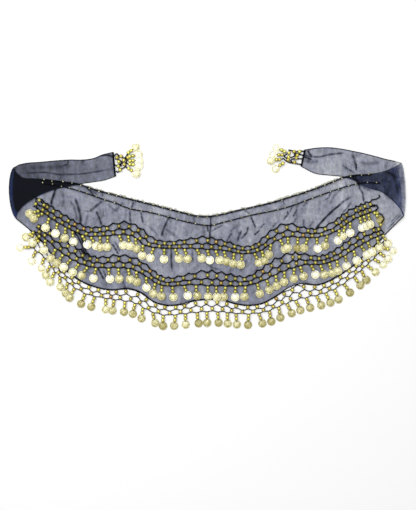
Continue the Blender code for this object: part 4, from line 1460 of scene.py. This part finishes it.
class HIPSCARF_OT_chains(bpy.types.Operator):
    """Lay the two beaded chains along the waist"""
    bl_idname = "hipscarf.chains"
    bl_label = "Waist chains"

    STEP = 2.0
    LEVEL_EVERY = 6
    RISE = 1.1
    LAY = 3.8
    # The finer yarn that zigzags over the chain
    TEETH_SIZE, TEETH_PERIOD, TEETH_OFFSET = 1.7, 4.9, 0.6
    TEETH_SHARE, TEETH_STEP, TEETH_LAY = 0.65, 1.2, 3.0
    BEAD_OFFSET = (0.0, 0.4, 0.9)
    BEAD_TONES = (0.1, 1.1)
    # The pale stitches
    STITCH_SEED = 97
    STITCH_STEP = 5.0
    STITCH_MISSED = 0.35
    STITCH_REACH = (1.3, 3.3)
    STITCH_LOW, STITCH_HIGH = 2.2, 2.6

    def execute(self, context):
        x, y, _ = panel_grid()
        top = list(zip(x[UNFOLDED, 0][::4], y[UNFOLDED, 0][::4]))
        moved = beside(top, WAIST_CHAIN_INSET)
        waist = [point for point in moved
                 if WAIST_CHAIN_ENDS[0] < point[0] < WAIST_CHAIN_ENDS[1]]
        laid = Laid("tie_left", "tie_right", "panel")
        self.chain(context, "waist_chain", waist, laid,
                   thick=1.15, sway=1.4, period=7.0, seed=71, first=8.0)
        self.chain(context, "second_chain", smooth(SECOND_CHAIN, 6), laid,
                   thick=1.3, sway=1.0, period=5.6, seed=83, first=1.0)
        self.stitches(context, top)
        return {"FINISHED"}

    def chain(self, context, name, route, laid, thick, sway, period, seed, first):
        """A swaying yarn with a finer zigzag over it, and a bead now and then."""
        look = look_of(context)
        sizes = sizes_of(context)
        draw = random.Random(seed)
        route = spread(route, self.STEP)
        level = [laid.top_near(a, b, CHAIN_REACH) + GAP + self.RISE
                 for a, b in route[::self.LEVEL_EVERY]]
        index = np.arange(len(route))
        height = np.interp(index, index[::self.LEVEL_EVERY], level)
        along = index * self.STEP
        swing = np.sin(math.tau * along / period) * sway
        zigzag = self.TEETH_SIZE * np.sin(math.tau * along / self.TEETH_PERIOD)
        sideways = beside(route, -1.0) - route
        path = np.column_stack([route + swing[:, None] * sideways, height])
        teeth = route + (zigzag - self.TEETH_OFFSET)[:, None] * sideways
        teeth = np.column_stack([teeth, height])
        cords = Shape()
        add_yarn(cords, spread(path, CORD_STEP), thick, lay=self.LAY)
        add_yarn(cords, spread(teeth, self.TEETH_STEP), thick * self.TEETH_SHARE,
                 lay=self.TEETH_LAY)
        beads = Shape()
        form = bead_form()
        radius = sizes.chain_bead / MM / 2
        for stop in np.arange(first, along[-1], sizes.bead_pitch / MM):
            spot = int(round(stop / self.STEP)) + draw.choice((-1, 0, 0, 1))
            spot = min(max(spot, 1), len(path) - 2)
            way = path[spot + 1] - path[spot - 1]
            middle = path[spot] + np.array(self.BEAD_OFFSET)
            add_bead(beads, form, middle, radius, way, draw.uniform(*self.BEAD_TONES))
        finish = yarn(name + "_cord_yarn", look.yarn_colour)
        add_piece(cords, name + "_yarn", finish, name, name)
        dark = look.chain_bead_dark
        finish = gilt(name + "_gilt", dark, look.chain_bead_light, dark)
        add_piece(beads, name + "_beads", finish, name)

    def stitches(self, context, top):
        """Pale stitches that stand out past the top edge here and there."""
        draw = random.Random(self.STITCH_SEED)
        route = spread(top, self.STITCH_STEP)
        outwards = beside(route, -1.0) - route
        threads = Shape()
        for index in range(2, len(route) - 2):
            first = route[index]
            last = route[index + 1]
            if not STITCHED[0] < first[0] < STITCHED[1] or draw.random() < self.STITCH_MISSED:
                continue
            reach = outwards[index] * draw.uniform(*self.STITCH_REACH)
            path = [
                (*first, self.STITCH_LOW),
                (*(first + (last - first) * 0.25 + reach), self.STITCH_HIGH),
                (*(first + (last - first) * 0.75 + reach * 0.9), self.STITCH_HIGH),
                (*last, self.STITCH_LOW),
            ]
            add_yarn(threads, spread(smooth(path, 5), 0.8), 0.5, strands=1)
        finish = yarn("pale_stitch_yarn", look_of(context).stitch_colour)
        add_piece(threads, "waist_chain_stitches", finish, "waist_chain")


class HIPSCARF_OT_stage(bpy.types.Operator):
    """Set the pale floor, the soft light and the camera straight above"""
    bl_idname = "hipscarf.stage"
    bl_label = "Stage"

    FLOOR_HALF = 4000.0
    FLOOR_BELOW = 0.0005
    ROOM_STRENGTH = 0.22
    # Name, place, size and power, in metres and watts
    LIGHTS = (
        ("soft_box", (-0.5, 0.6, 3.2), 4.0, 145.0),
        ("key", (-1.5, 1.7, 2.0), 0.8, 6.0),
    )
    FARTHEST_SEEN = 50.0

    def execute(self, context):
        scene = context.scene
        floor = Shape()
        half = self.FLOOR_HALF
        corners = [(-half, -half, 0), (half, -half, 0), (half, half, 0), (-half, half, 0)]
        floor.add(np.array(corners) + CENTRE, [(0, 1, 2, 3)])
        plane = floor.build("floor", pale_floor("pale_floor", look_of(context)))
        plane.location.z = -self.FLOOR_BELOW
        world = bpy.data.worlds.new("soft_room")
        scene.world = world
        world.use_nodes = True
        room = world.node_tree.nodes["Background"]
        room.inputs["Color"].default_value = (1.0, 1.0, 1.0, 1.0)
        room.inputs["Strength"].default_value = self.ROOM_STRENGTH
        for name, place, size, power in self.LIGHTS:
            light = bpy.data.lights.new(name, "AREA")
            light.size = size
            light.energy = power
            lamp = bpy.data.objects.new(name, light)
            lamp.location = place
            lamp.rotation_euler = (-Vector(place)).to_track_quat("-Z", "Y").to_euler()
            scene.collection.objects.link(lamp)
        camera = bpy.data.cameras.new("camera")
        camera.lens = LENS
        camera.sensor_width = SENSOR
        camera.clip_end = self.FARTHEST_SEEN
        eye = bpy.data.objects.new("camera", camera)
        away = LENS / SENSOR * PICTURE_LONG_SIDE * PIXEL * MM
        spot = (np.array([*LOOKED_AT, 0.0]) - CENTRE) * MM
        eye.location = (spot[0], spot[1], away)
        scene.collection.objects.link(eye)
        scene.camera = eye
        scene.view_settings.view_transform = "Standard"
        return {"FINISHED"}


class HIPSCARF_PT_sidebar(bpy.types.Panel):
    """Buttons for each part of the scarf"""
    bl_label = "Hip Scarf"
    bl_idname = "HIPSCARF_PT_sidebar"
    bl_space_type = "VIEW_3D"
    bl_region_type = "UI"
    bl_category = "Hip Scarf"

    def draw(self, context):
        for group in (sizes_of(context), look_of(context)):
            for name in group.__annotations__:
                self.layout.prop(group, name)
        for operator in OPERATORS:
            self.layout.operator(operator.bl_idname)


OPERATORS = (
    HIPSCARF_OT_ties,
    HIPSCARF_OT_panel,
    HIPSCARF_OT_nets,
    HIPSCARF_OT_chains,
    HIPSCARF_OT_stage,
)
CLASSES = (HIPSCARF_PG_sizes, HIPSCARF_PG_look, *OPERATORS, HIPSCARF_PT_sidebar)


def register():
    for cls in CLASSES:
        bpy.utils.register_class(cls)
    bpy.types.Scene.hip_scarf_sizes = bpy.props.PointerProperty(type=HIPSCARF_PG_sizes)
    bpy.types.Scene.hip_scarf_look = bpy.props.PointerProperty(type=HIPSCARF_PG_look)


def unregister():
    del bpy.types.Scene.hip_scarf_look
    del bpy.types.Scene.hip_scarf_sizes
    for cls in reversed(CLASSES):
        bpy.utils.unregister_class(cls)


def main():
    register()
    bpy.ops.hipscarf.ties()
    bpy.ops.hipscarf.panel()
    bpy.ops.hipscarf.nets()
    bpy.ops.hipscarf.chains()
    bpy.ops.hipscarf.stage()
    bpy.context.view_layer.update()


if __name__ == "__main__":
    main()
